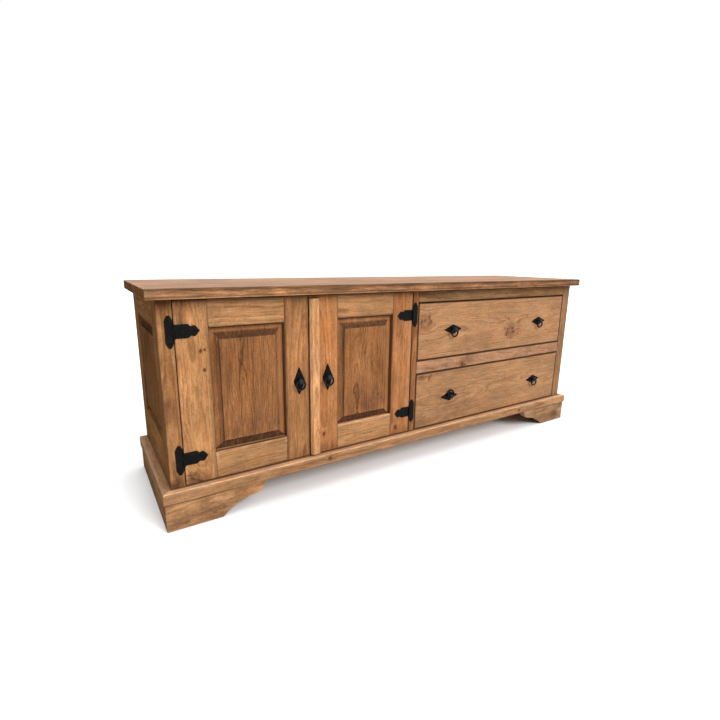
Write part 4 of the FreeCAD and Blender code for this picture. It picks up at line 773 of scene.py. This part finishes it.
# Darker copy for the side mouldings and plinth boards: painted shade.
side_plinth_wood_shaded = pine("pine_side_plinth_painted_shade", (0.235, 0.137, 0.069), (0.112, 0.053, 0.022), worn=0.3, spec=0.0, coat=0.0)
FOOT = dict(worn=0.2, blotch=0.36, uneven=0.42)
foot_wood = {"left": pine("pine_left_foot_wood", (0.325, 0.171, 0.079), (0.15, 0.066, 0.025),
                          strokes=[(70, 30, 10, 9, 3.5, 0.6), (100, 22, -15, 10, 3.5, 0.6), (30, 16, 20, 9, 3.5, 0.6),
                                   (128, 30, 5, 8, 3.0, 0.5)],
                          smudges=[((92, -16, 26), 56, (0.7, 0.1, 1.3), 0.6), ((15, -16, 22), 36, (0.8, 0.1, 1.0), 0.6)],
                          **FOOT),
             "right": pine("pine_right_foot_wood", (0.288, 0.161, 0.08), (0.132, 0.062, 0.0252),
                           burls=[((1563, -16, 30), 18)],
                           strokes=[(1570, 34, 40, 10, 3.2, 0.6), (1553, 38, 130, 9, 3.2, 0.6), (1552, 24, 20, 11, 3.2, 0.6),
                                    (1568, 20, 110, 8, 3.2, 0.6)],
                           smudges=[((1563, -16, 30), 40, (0.8, 0.1, 1.0), 0.6)], **FOOT)}
inside_x = pine("pine_inside_wood_x", (0.55, 0.36, 0.2), (0.4, 0.22, 0.1), axis="x", figure=0.6, rough=0.6, blotch=0.12, uneven=0.1, hue=0.35, fine=0.16, dust=0.1)
inside_y = pine("pine_inside_wood_y", (0.55, 0.36, 0.2), (0.4, 0.22, 0.1), axis="y", figure=0.6, rough=0.6, blotch=0.12, uneven=0.1, hue=0.35, fine=0.16, dust=0.1)
inside_z = pine("pine_inside_wood_z", (0.5, 0.3, 0.16), (0.34, 0.17, 0.075), axis="z", figure=0.6, rough=0.6, blotch=0.12, uneven=0.1, hue=0.35, fine=0.16, dust=0.1)
QUIET = dict(blotch=0.08, uneven=0.06, fine=0.12, hue=0.25, streaks=0.22, dust=0.08, fleck=0.2)
ply = pine("ply_sheet", (0.5, 0.33, 0.19), (0.4, 0.235, 0.12), axis="x", ring=0.024, wander=0.12, figure=0.5,
           rough=0.62, **QUIET)
black = iron("black_iron_hammered", (0.0027, 0.0024, 0.0021), 0.065)
# Pull studs and ring tops get the painted bluish-grey reflection.
pull_iron = iron("black_iron_pulls", (0.0015, 0.0013, 0.0011), 0.075, proud=4.2)
ring_iron = iron("black_iron_rings", (0.0016, 0.0014, 0.0014), 0.12, proud=11.4, painted_glint=(0.005, 0.0062, 0.008))
catch_mat = plastic("catch_plastic_brown", (0.12, 0.06, 0.03))
strike_mat = steel("strike_steel_plain")

# ------------------------------------------------------------------- carcass
BANDS = ((583.0, 0.3), (585.6, 0.1), (588.1, 0.95), (592.6, 0.1), (599.4, 0.5), (603.9, 0.95), (606.4, 0.4))
s = plank(Skin(), (-22, -27, 583), (1622, 417, 609), "x", "z", 609, 3, r=2.6, step=34,
          planks=[118, 268], tilt=(0.004, 0.011), pith=None, end_mat=1,
          tint=lambda y, z: along_line(BANDS, z) if y < -24.3 and z < 607.5 else 0.0,
          edge=lambda y, z: 0.9 if y < -20 and z > 600 else 0.0,
          rub=lambda y, z, x: 0.1 if z < 590 else (1.0 if y > -20 or x < 40 else 0.25),
          # Underside and ends take the darker copy, partly painted shade; the front and back edges take their own wood.
          mat_of=lambda y, z: 2 if y < -26 or y > 416 else (1 if z < 590 else 0))
build("top_board_piece", s, [top_wood, top_end_wood, top_edge_wood], "cabinet", ["top_board"])

for side, x0, x1, seed in (("left", 0, 36, 11), ("right", 1558, 1600, 12)):
    outer = (lambda x, y: 1 if x < 0.4 else 0) if side == "left" else (lambda x, y: 1 if x > 1599.6 else 0)
    # Painted shade under the top's overhang, deeper towards the posts' tops; the left post gets painted shade along the
    # door gap, and the outer faces take the shaded side copy.
    head = {"left": ((515, 0.05), (545, 0.4), (575, 1.1), (583, 1.2)),
            "right": ((545, 0.0), (575, 0.35), (580, 0.9), (583, 1.0))}[side]
    s = plank(Skin(), (x0, 0, 106.5), (x1, 67, 583), "z", "y", 0, seed, r=1.2, edge=0.6, mat_of=outer,
              tint=(lambda x, y: 0.3 if x > 32 and y < 9 else 0.0) if side == "left" else None,
              painted_shade_at=lambda x, y, z: along_line(head, z) if 0.5 < x < 1599.5 else 0.0)
    build(side + "_front_post_piece", s, [{"left": post_wood, "right": far_post_wood}[side], side_wood_shaded], "cabinet",
          [side + "_front_post"])

s = Skin()
for x0, x1, xr, seed in ((0, 36, 10, 13), (1558, 1600, 1590, 14)):
    g = Grain("z", "x", 0 if seed == 13 else 1600, (18, 383, 345), seed, 67)
    if seed == 13:
        pts = [(0, 350, 1.2), (36, 350, 1.0), (36, 409, 0.6), (10, 409, 0.3), (10, 417, 0.6), (0, 417, 1.2)]
    else:
        pts = [(1558, 350, 1.0), (1600, 350, 1.2), (1600, 417, 1.2), (1590, 417, 0.6), (1590, 409, 0.3), (1558, 409, 0.6)]
    prism(s, pts, "z", 106.5, 583, g, end=0.3, seed=seed)
build("back_posts_piece", s, side_wood_shaded, "cabinet", ["back_posts"])

for side, x0, x1, xf in (("left", 0, 24, 0), ("right", 1576, 1600, 1600)):
    s = Skin()
    for z0, z1, seed in ((515, 583, 21), (106.5, 217, 22)):
        plank(s, (x0, 67, z0), (x1, 350, z1), "y", "x", xf, seed + (5 if side == "right" else 0), r=0.8,
              edge=0.4)
    build(side + "_side_rails_piece", s, side_wood_shaded, "cabinet", [side + "_side_rails"])
    if side == "left":
        place = lambda u, d, z: (d, 417 - u, z)
    else:
        place = lambda u, d, z: (1600 - d, u, z)
    g = Grain("z", "x", 2.6 if side == "left" else 1597.4, (0, 208, 366), 31 if side == "left" else 32, 283)
    s = raised_panel(Skin(), place, (67, 350), (217, 515), 10.0, 8.0, 7.5, (25, 25, 21.5, 31), 2.6, 2.0, g,
                     seed=31)
    build(side + "_side_panel_piece", s, side_panel_wood_shaded, "cabinet", [side + "_side_panel"])

# Middle stile: painted shade along its left part by the right door's gap, and under the top's overhang.
s = plank(Skin(), (758.5, 0, 106.5), (782, 24, 583), "z", "y", 0, 41, r=0.8,
          edge=lambda x, y: 0.4 if x > 775 else 1.2,
          tint=lambda x, y: (0.6 if x < 764 else (0.3 if x < 769 else 0.0)) if y < 9 else 0.0,
          painted_shade_at=lambda x, y, z: along_line(((545, 0.1), (575, 0.5), (580, 0.9), (583, 1.0)), z))
build("middle_stile_piece", s, stile_wood_shaded, "cabinet", ["middle_stile"])
# Drawer rails: the dark eased edges paint the shade in the drawer gaps; the top rail also gets painted shade under the
# top's overhang.
s = plank(Skin(), (782, 0, 544), (1558, 24, 583), "x", "y", 0, 42, r=0.8, edge=1.6,
          tint=lambda y, z: 0.9 if z > 578.5 and y < 9 else (0.2 if z > 574 and y < 9 else 0.0))
build("drawer_top_rail_piece", s, rail_wood_shaded, "cabinet", ["drawer_top_rail"])
s = plank(Skin(), (782, 0, 305.6), (1558, 24, 348.9), "x", "y", 0, 43, r=0.8, edge=1.6)
build("drawer_middle_rail_piece", s, mid_wood, "cabinet", ["drawer_middle_rail"])

# -------------------------------------------------------------------- plinth
def band_corners(front, back, flip=False):
    """Moulding section: (distance from the face, height), front edge eased."""
    return [(0.0, 77.0, 0.8), (2.0, 75.0, 0.8), (back, 75.0, 0.5), (back, 106.5, 0.5), (18.0, 106.5, 0.0),
            (16.0, 106.5, 0.0), (0.0, 106.5, 3.5)]


sec = band_corners(0, 28.2)
s = Skin()
# along x the outline order is (y, z)
g = Grain("x", "y", -20, (800, 0, 90), 51, 31, tilt=(0.004, 0.008))
prism(s, [(-20 + a, b, r) for a, b, r in sec], "x", lambda a, b: -22 + (a + 20) * 28 / 28.2,
      lambda a, b: 1622 - (a + 20) * 28 / 28.2, g, seed=51, wob=0.12,
      # Painted shadow lines along the moulding's lower edge and along the back of its top under the doors.
      tint=lambda y, z: 0.95 if z < 76.2 else (0.6 if z < 78 else (0.9 if y > -2.5 else (0.2 if y > -4.5 else 0.0))),
      # The upper faces take the lighter copy: painted highlight.
      mat_of=lambda y, z: 1 if z > 104.3 else 0)
build("front_plinth_moulding_piece", s, [plinth_wood, front_plinth_top_lit], "cabinet", ["front_plinth_moulding"])

sec = band_corners(0, 28.0)
s = Skin()
# along y the outline order is (z, x)
g = Grain("y", "x", -22, (0, 200, 90), 52, 31)
# Side mouldings: upper faces take the lighter copy, a painted highlight; the rest the darker side copy, painted shade.
prism(s, [(b, -22 + a, r) for a, b, r in sec], "y", lambda a, b: -20 + (b + 22) * 28.2 / 28,
      417, g, end=0.4, seed=52, wob=0.12, mat_of=lambda z, x: 1 if z > 104.3 else 0)
g = Grain("y", "x", 1622, (0, 200, 90), 53, 31)
prism(s, [(b, 1622 - a, r) for a, b, r in sec], "y", lambda a, b: -20 + (1622 - b) * 28.2 / 28,
      417, g, end=0.4, seed=53, wob=0.12, mat_of=lambda z, x: 1 if z > 104.3 else 0)
build("side_plinth_mouldings_piece", s, [side_plinth_wood_shaded, side_plinth_top_lit], "cabinet", ["side_plinth_mouldings"])


def arc(p, q, radius, via):
    """Points from p to q on a circle of that radius, passing on via's side."""
    p, q, via = Vector(p), Vector(q), Vector(via)
    m, h = (p + q) / 2, (q - p) / 2
    off = math.sqrt(max(radius * radius - h.length_squared, 0.0))
    nrm = Vector((-h.y, h.x)).normalized()
    best = None
    for sgn in (1, -1):
        c = m + nrm * off * sgn
        a0, a1 = math.atan2(p.y - c.y, p.x - c.x), math.atan2(q.y - c.y, q.x - c.x)
        d = (a1 - a0 + math.pi) % (2 * math.pi) - math.pi
        mid = c + Vector((math.cos(a0 + d / 2), math.sin(a0 + d / 2))) * radius
        err = (mid - via).length
        if best is None or err < best[0]:
            best = (err, c, a0, d)
    _, c, a0, d = best
    k = max(6, int(abs(d) * radius / 4))
    return [c + Vector((math.cos(a0 + d * i / k), math.sin(a0 + d * i / k))) * radius for i in range(k + 1)]


def foot(skin, side, seed):
    """Bracket foot: lower outline swept up to the band, front edge eased."""
    curve = [Vector((x, 0.0)) for x in (0, 3, 8, 24, 48, 72, 96, 116, 130, 137)]
    curve += arc((140.5, 0), (223.5, 41), 150.0, (180, 26))
    curve += arc((223.5, 41), (262, 75), 38.0, (252.5, 53.5))[1:]
    curve[-1] = Vector((261.9, 74.6))
    ease, y0, y1 = 1.6, -15.8, 8.2
    rows = []
    n = len(curve)
    for i, c in enumerate(curve):
        a, b = curve[max(0, i - 1)], curve[min(n - 1, i + 1)]
        tan = (b - a).normalized()
        nrm = Vector((-tan.y, tan.x))
        if i == 0:
            nrm = Vector((0.0, 1.0))
        sec = []
        for k in (0, 30, 60, 90):                # round from underside to face
            cc, ss = math.cos(math.radians(k)), math.sin(math.radians(k))
            q = c + nrm * ease * (1 - cc) if k else c.copy()
            yy = y0 + ease * (1 - ss)
            q.y = min(q.y, 74.9)
            sec.append((q.x, yy, q.y, 0.9 if k else 0.6))
        x, z = sec[-1][0], sec[-1][2]
        for f, w in ((0.06, 0.4), (0.16, 0.1), (0.4, 0.0), (0.7, 0.0), (0.92, 0.0), (1.0, 0.0)):
            sec.append((x + (c.x - x) * f, y0, z + (75.0 - z) * f, w))
        sec.append((c.x, y1, 75.0, 0.0))
        sec.append((c.x, y1, c.y, 0.0))
        rows.append(sec)
    g = Grain("x", "y", y0, (130, 0, 37), seed, 75)
    ids = []
    for sec in rows:
        line = []
        for x, y, z, w in sec:
            x = max(x, 0.0)
            if x < 48.0:
                x = x + (y - y0) * (1 - x / 48.0)      # mitred outer end
            px = -18.5 + x if side == "left" else 1618.5 - x
            # The face right under the moulding gets full depth of stain: a painted shadow of the moulding's lower edge.
            line.append(skin.vert((px, y + 0.08 * smooth_noise((x, y, z), 70, seed) * (1 if w else 0), z), w,
                                  1.0 if z > 74.5 and y < y0 + 0.1 else 0.0))
        ids.append(line)
    m = len(ids[0])
    for r0, r1 in zip(ids, ids[1:]):
        for i in range(m):
            j = (i + 1) % m
            q = (r0[i], r1[i], r1[j], r0[j])
            skin.face(q if side == "left" else tuple(reversed(q)), g)
    a, b = tuple(ids[0]), tuple(reversed(ids[-1]))
    skin.face(a if side == "left" else tuple(reversed(a)), g)
    skin.face(b if side == "left" else tuple(reversed(b)), g)
    return skin


for side, seed in (("left", 55), ("right", 56)):
    build(side + "_bracket_foot_piece", foot(Skin(), side, seed), foot_wood[side], "cabinet",
          [side + "_bracket_foot"])

s = Skin()
g = Grain("y", "x", -18.5, (0, 200, 37), 57, 75)
prism(s, [(0, -18.5, 1.0), (75, -18.5, 1.0), (75, 5.5, 0.6), (0, 5.5, 0.6)], "y",
      lambda a, b: -15.8 + (b + 18.5), 417, g, end=0.4, seed=57, wob=0.12)
g = Grain("y", "x", 1618.5, (0, 200, 37), 58, 75)
prism(s, [(0, 1594.5, 0.6), (75, 1594.5, 0.6), (75, 1618.5, 1.0), (0, 1618.5, 1.0)], "y",
      lambda a, b: -15.8 + (1618.5 - b), 417, g, end=0.4, seed=58, wob=0.12)
plank(s, (5.5, 393, 20), (1594.5, 417, 84.5), "x", "y", 417, 59, r=0.8)
build("plinth_boards_piece", s, side_plinth_wood_shaded, "cabinet", ["plinth_boards"])

# --------------------------------------------------------------------- doors
knots_l = [((95, 0, 454), 3.0, F), ((105, 0, 456), 2.4, F), ((101, 0, 405), 3.0, F)]
knots_r = [((702, 0, 134), 4.5, F)]
hinge_wood = {"left": pine("pine_left_hinge_stile_wood", HONEY, BROWN, knots=knots_l, burls=[((57, 0, 122), 22)],
                           strokes=[(61, 135, 60, 6, 3.2, 0.75), (48, 133, -25, 10, 2.4, 0.8), (54, 123, -20, 10, 5.0, 0.85),
                                    (72, 114, -28, 15, 4.0, 0.9), (41, 122, 30, 5, 3.0, 0.75), (62, 115, -60, 9, 2.6, 0.6)],
                           smudges=[((56, 0, 120), 34, (0.9, 0.1, 0.9), 0.5), ((52, 0, 560), 46, (1.5, 0.1, 0.5), 0.8), ((40, 0, 430), 22, (1.6, 0.1, 0.7), 0.6),
                                    ((58, 0, 300), 30, (1.4, 0.1, 0.6), 0.3), ((58, 0, 225), 60, (1.2, 0.1, 0.55), 0.3)]),
              "right": pine("pine_right_hinge_stile_wood", (0.378, 0.16, 0.06), (0.175, 0.062, 0.0184), knots=knots_r,
                            smudges=[((718, 0, 150), 60, (1.0, 0.1, 0.7), 0.3)])}
meet_wood = {"left": pine("pine_left_meeting_stile_wood", (0.43, 0.2, 0.077), (0.198, 0.0755, 0.023),
                          smudges=[((350, 0, 540), 70, (1.2, 0.1, 0.5), 0.4), ((340, 0, 140), 50, (1.0, 0.1, 0.7), 0.4)]),
             "right": pine("pine_right_meeting_stile_wood", (0.388, 0.163, 0.0592), (0.18, 0.063, 0.018),
                           knots=[((435, 0, 166), 4.0, F)])}
DOORS = {"left": (38, 117, 316, 387), "right": (390, 481.5, 680, 756.5)}
# depth of painted shade: under the top's overhang, at the foot of the doors, and across the stiles at the panel
# openings and gaps, where the joints are also stained dark
OVERHANG_SHADE = ((541, 0.0), (571.7, 0.42), (576.2, 0.82), (578.7, 1.0))
DOOR_FOOT_SHADE = ((110, 0.4), (117, 0.4), (150, 0.0))
RAIL_SHADE = {"left": ((510.3, 1.0), (512.8, 0.2), (517.3, 0.0), (541, 0.0), (571.7, 0.34), (576.2, 0.85), (578.7, 1.0)),
        "right": ((510.3, 1.0), (512.8, 0.75), (517.3, 0.15), (541, 0.0), (571.7, 0.15), (576.2, 0.75), (578.7, 0.9))}
JOINT_STAIN_AND_SHADE = {("left", "hinge"): ((109, 0.0), (113.5, 0.45), (117, 0.8)),
          ("left", "meeting"): ((316, 0.9), (319.5, 0.9), (324, 0.25), (351, 0.0), (379, 0.45), (383.5, 0.6), (387, 0.8)),
          ("right", "meeting"): ((389, 0.0), (482, 0.0)),
          ("right", "hinge"): ((680, 0.8), (683.5, 0.5), (688, 0.1), (715, 0.0))}
for side, (x0, o0, o1, x1) in DOORS.items():
    k = 60 if side == "left" else 80
    body = side + "_door"
    parts = {"hinge": (x0, o0), "meeting": (o1, x1)} if side == "left" else \
            {"meeting": (x0, o0), "hinge": (o1, x1)}
    tones = {"left": {"hinge": 0.3, "meeting": -1.4}, "right": {"hinge": -0.3, "meeting": -0.5}}[side]
    for tag, (a, b) in parts.items():
        # Stiles: dark eased edges and the joint table paint the shade at the gaps and the panel opening, with painted
        # shade under the top's overhang (more on the left hinge stile) and at the foot.
        joint_shade = JOINT_STAIN_AND_SHADE[side, tag]
        more = 1.35 if (side, tag) == ("left", "hinge") else 1.0
        s = plank(Skin(), (a, 0, 109.5), (b, 24, 579.5), "z", "y", 0, k + (1 if tag == "hinge" else 2), r=1.0,
                  edge=lambda x, y: 0.3 if x < 45 or 750 < x < 760 else 0.8, tone=tones[tag],
                  tint=lambda x, y: along_line(joint_shade, x) if y < 9 else 0.0,
                  painted_shade_at=lambda x, y, z: (more * along_line(OVERHANG_SHADE, z) if z > 340 else along_line(DOOR_FOOT_SHADE, z)) if y < 20 else 0.0)
        build("%s_door_%s_stile_piece" % (side, tag), s, (hinge_wood if tag == "hinge" else meet_wood)[side],
              body, ["%s_door_%s_stile" % (side, tag)])
    s = Skin()
    # Top rail: the lower eased edge is darkened as a painted shadow line over the panel, with painted shade under the
    # top's overhang.
    plank(s, (o0, 0, 509.5), (o1, 24, 579.5), "x", "y", 0, k + 3, r=0.8,
          edge=lambda y, z: 1.7 if z < 515 else 0.35,
          tint=lambda y, z: along_line(RAIL_SHADE[side], z) if y < 9 else 0.0,
          tone={"left": -1.3, "right": -2.2}[side])
    # Low rail: the upper eased edge is rubbed much lighter, wear with a painted highlight; on the left door the very
    # top of it is darkened as a painted shadow line.
    plank(s, (o0, 0, 109.5), (o1, 24, 185.5), "x", "y", 0, k + 4, r=1.6, tone={"left": -1.6, "right": -1.8}[side],
          edge=(lambda y, z: 1.25 if z > 183 else (0.0 if z > 175 else 0.35)) if side == "left" else
          (lambda y, z: 0.0 if z > 180 else 0.35),
          rub=(lambda y, z, x: 0.0 if z > 183 else (6.0 if z > 175 and y < 4 else 1.0)) if side == "left" else
          (lambda y, z, x: 4.5 if z > 180 and y < 4 else 1.0))
    build(side + "_door_rails_piece", s, frame_wood, body, [side + "_door_rails"])
    g = Grain("z", "y", 3.2, ((o0 + o1) / 2, 0, 347), k + 5, 199, tilt=(0.02, 0.045),
              tone={"left": -0.6, "right": -0.2}[side])
    s = raised_panel(Skin(), lambda u, d, z: (u, d, z), (o0, o1), (185.5, 509.5), 12.25, 8.0, 7.5,
                     (25, 25, 21.5, 31), 3.2, 2.0, g, seed=k)
    build(side + "_door_panel_piece", s, panel_wood, body, [side + "_door_panel"])

s = Skin()
g = Grain("z", "y", -10, (404, 0, 341), 71, 28)
prism(s, [(390, 0, 0.3), (390, -4, 0.8), (396, -10, 0.8), (416, -10, 1.2), (418, -8, 0.8), (418, 0, 0.3)],
      "z", 111, 571.5, g, end=0.22, seed=71, wob=0.15, end_mat=1)
build("right_door_cover_strip_piece", s, [strip_wood, stile_wood_shaded], "right_door", ["right_door_cover_strip"])

# ------------------------------------------------------------------- drawers
for lev, z0, z1, seed, mat in (("upper", 351.2, 541.6, 91, drawer_up), ("lower", 109.2, 303.2, 95, drawer_lo)):
    # Drawer fronts: the dark eased edges paint the shade in the gaps, and the strip next to the middle stile gets
    # painted shade.
    s = plank(Skin(), (784.4, 0, z0), (1555.6, 22, z1), "x", "y", 0, seed, r=1.2, edge=1.8, tilt=(0.02, 0.03),
              painted_shade_at=lambda y, z, x: 0.5 if x < 788.5 and y < 9 else 0.0)
    build(lev + "_drawer_front_piece", s, mat, lev + "_drawer", [lev + "_drawer_front"])

# --------------------------------------------------- pieces kept from the frame
def finish_node(name, mat, bevel=None):
    o = NODES[name]
    o.data.materials.clear()
    o.data.materials.append(mat)
    if bevel:
        b = o.modifiers.new("eased", "BEVEL")
        b.width = bevel * MM
        b.segments = 2
        b.limit_method = "ANGLE"
        b.angle_limit = math.radians(35)
        b.use_clamp_overlap = True


for n in ("bottom_board", "shelf", "door_stop_batten"):
    finish_node(n, inside_x)
for n in ("divider_panel",):
    finish_node(n, inside_z)
for n in ("bearer_cleats", "drawer_runners"):
    finish_node(n, inside_y)
finish_node("back_panel", ply)
for lev in ("upper", "lower"):
    finish_node(lev + "_drawer_box", inside_y)
    finish_node(lev + "_drawer_bottom", ply)
    finish_node(lev + "_drawer_pull_mounts", pull_iron)
for n in ("hinge_frame_leaves", "hinge_pins", "hinge_frame_screws", "left_door_hinge_straps",
          "right_door_hinge_straps", "left_door_hinge_screws", "right_door_hinge_screws"):
    finish_node(n, black)
for n in ("left_door_pull_plate", "right_door_pull_plate", "left_door_pull_stud", "right_door_pull_stud"):
    finish_node(n, pull_iron)
for n in ("left_door_ring", "right_door_ring", "upper_drawer_left_ring", "upper_drawer_right_ring",
          "lower_drawer_left_ring", "lower_drawer_right_ring"):
    finish_node(n, ring_iron)
finish_node("door_catches", catch_mat)
for side in ("left", "right"):
    finish_node(side + "_door_strike", strike_mat)


# --------------------------------------------------------------------- stage
def floor():
    bm = bmesh.new()
    bmesh.ops.create_grid(bm, x_segments=8, y_segments=8, size=40.0)
    mesh = bpy.data.meshes.new("studio_floor")
    bm.to_mesh(mesh)
    bm.free()
    t = Tree("studio_floor_pale")
    f = t.noise(t.object_co(), 3.0, 3.0, 0.5)
    t.shade(Base_Color=t.mix(f, (0.80, 0.80, 0.80), (0.83, 0.83, 0.83)), Roughness=0.75, Specular_IOR_Level=0.2)
    mesh.materials.append(t.mat)
    o = bpy.data.objects.new("studio_floor", mesh)
    bpy.context.scene.collection.objects.link(o)


floor()


def sun(name, toward, watts, degrees, color=(1, 1, 1)):
    """Broad soft key: toward points from the stand to the light."""
    d = bpy.data.lights.new(name, "SUN")
    d.energy, d.angle, d.color = watts, math.radians(degrees), color
    o = bpy.data.objects.new(name, d)
    o.rotation_euler = Vector(toward).to_track_quat("Z", "Y").to_euler()
    bpy.context.scene.collection.objects.link(o)


sun("key_light", (0.24, -0.82, 0.52), 3.2, 30.0, (0.955, 0.966, 1.0))

world = bpy.data.worlds.new("studio_world")
bpy.context.scene.world = world
world.use_nodes = True
wt = world.node_tree
wt.nodes.clear()
wo = wt.nodes.new("ShaderNodeOutputWorld")
tc = wt.nodes.new("ShaderNodeTexCoord")
dot = wt.nodes.new("ShaderNodeVectorMath")
dot.operation = "DOT_PRODUCT"
wt.links.new(tc.outputs["Generated"], dot.inputs[0])
dot.inputs[1].default_value = Vector((0.68, 0.5, 0.53)).normalized()
mr = wt.nodes.new("ShaderNodeMapRange")
mr.interpolation_type = "SMOOTHSTEP"
for s_, v_ in zip(mr.inputs[1:5], (-0.35, 0.8, 0.06, 0.85)):
    s_.default_value = v_
wt.links.new(dot.outputs["Value"], mr.inputs["Value"])
up = wt.nodes.new("ShaderNodeSeparateXYZ")
wt.links.new(tc.outputs["Generated"], up.inputs[0])


def rise(lo, hi, a, b):
    """Eases from a to b as the direction climbs from lo to hi."""
    n = wt.nodes.new("ShaderNodeMapRange")
    n.interpolation_type = "SMOOTHSTEP"
    for s_, v_ in zip(n.inputs[1:5], (lo, hi, a, b)):
        s_.default_value = v_
    wt.links.new(up.outputs[2], n.inputs["Value"])
    return n.outputs[0]


sky = wt.nodes.new("ShaderNodeMath")
sky.operation = "MULTIPLY_ADD"
wt.links.new(mr.outputs[0], sky.inputs[0])
wt.links.new(rise(0.05, 0.6, 0.46, 1.0), sky.inputs[1])
wt.links.new(rise(0.35, 1.0, 0.0, 1.8), sky.inputs[2])
dim = wt.nodes.new("ShaderNodeBackground")
dim.inputs[0].default_value = (1, 1, 1, 1)
wt.links.new(sky.outputs[0], dim.inputs[1])
pale = wt.nodes.new("ShaderNodeBackground")
pale.inputs[0].default_value = (1.0, 1.0, 1.0, 1)
pale.inputs[1].default_value = 1.0
lp = wt.nodes.new("ShaderNodeLightPath")
mx = wt.nodes.new("ShaderNodeMixShader")
wt.links.new(lp.outputs["Is Camera Ray"], mx.inputs[0])
wt.links.new(dim.outputs[0], mx.inputs[1])
wt.links.new(pale.outputs[0], mx.inputs[2])
wt.links.new(mx.outputs[0], wo.inputs[0])

scene = bpy.context.scene
scene.view_settings.view_transform = "Standard"
scene.view_settings.look = "None"
scene.view_settings.exposure = 0.0
scene.view_settings.gamma = 1.0

cd = bpy.data.cameras.new("photo_camera")
cd.sensor_fit = "AUTO"
cd.sensor_width = 36.0
cd.lens = 22.0807
cd.clip_start, cd.clip_end = 0.02, 200.0
cam = bpy.data.objects.new("photo_camera", cd)
scene.collection.objects.link(cam)
cam.matrix_world = Matrix(((0.84232748, 0.10914049, -0.52779993, -0.9494194),
                           (-0.53880415, 0.19452174, -0.81966541, -1.2959733),
                           (0.01320987, 0.97480749, 0.22265635, 0.6784249),
                           (0.0, 0.0, 0.0, 1.0)))
scene.camera = cam
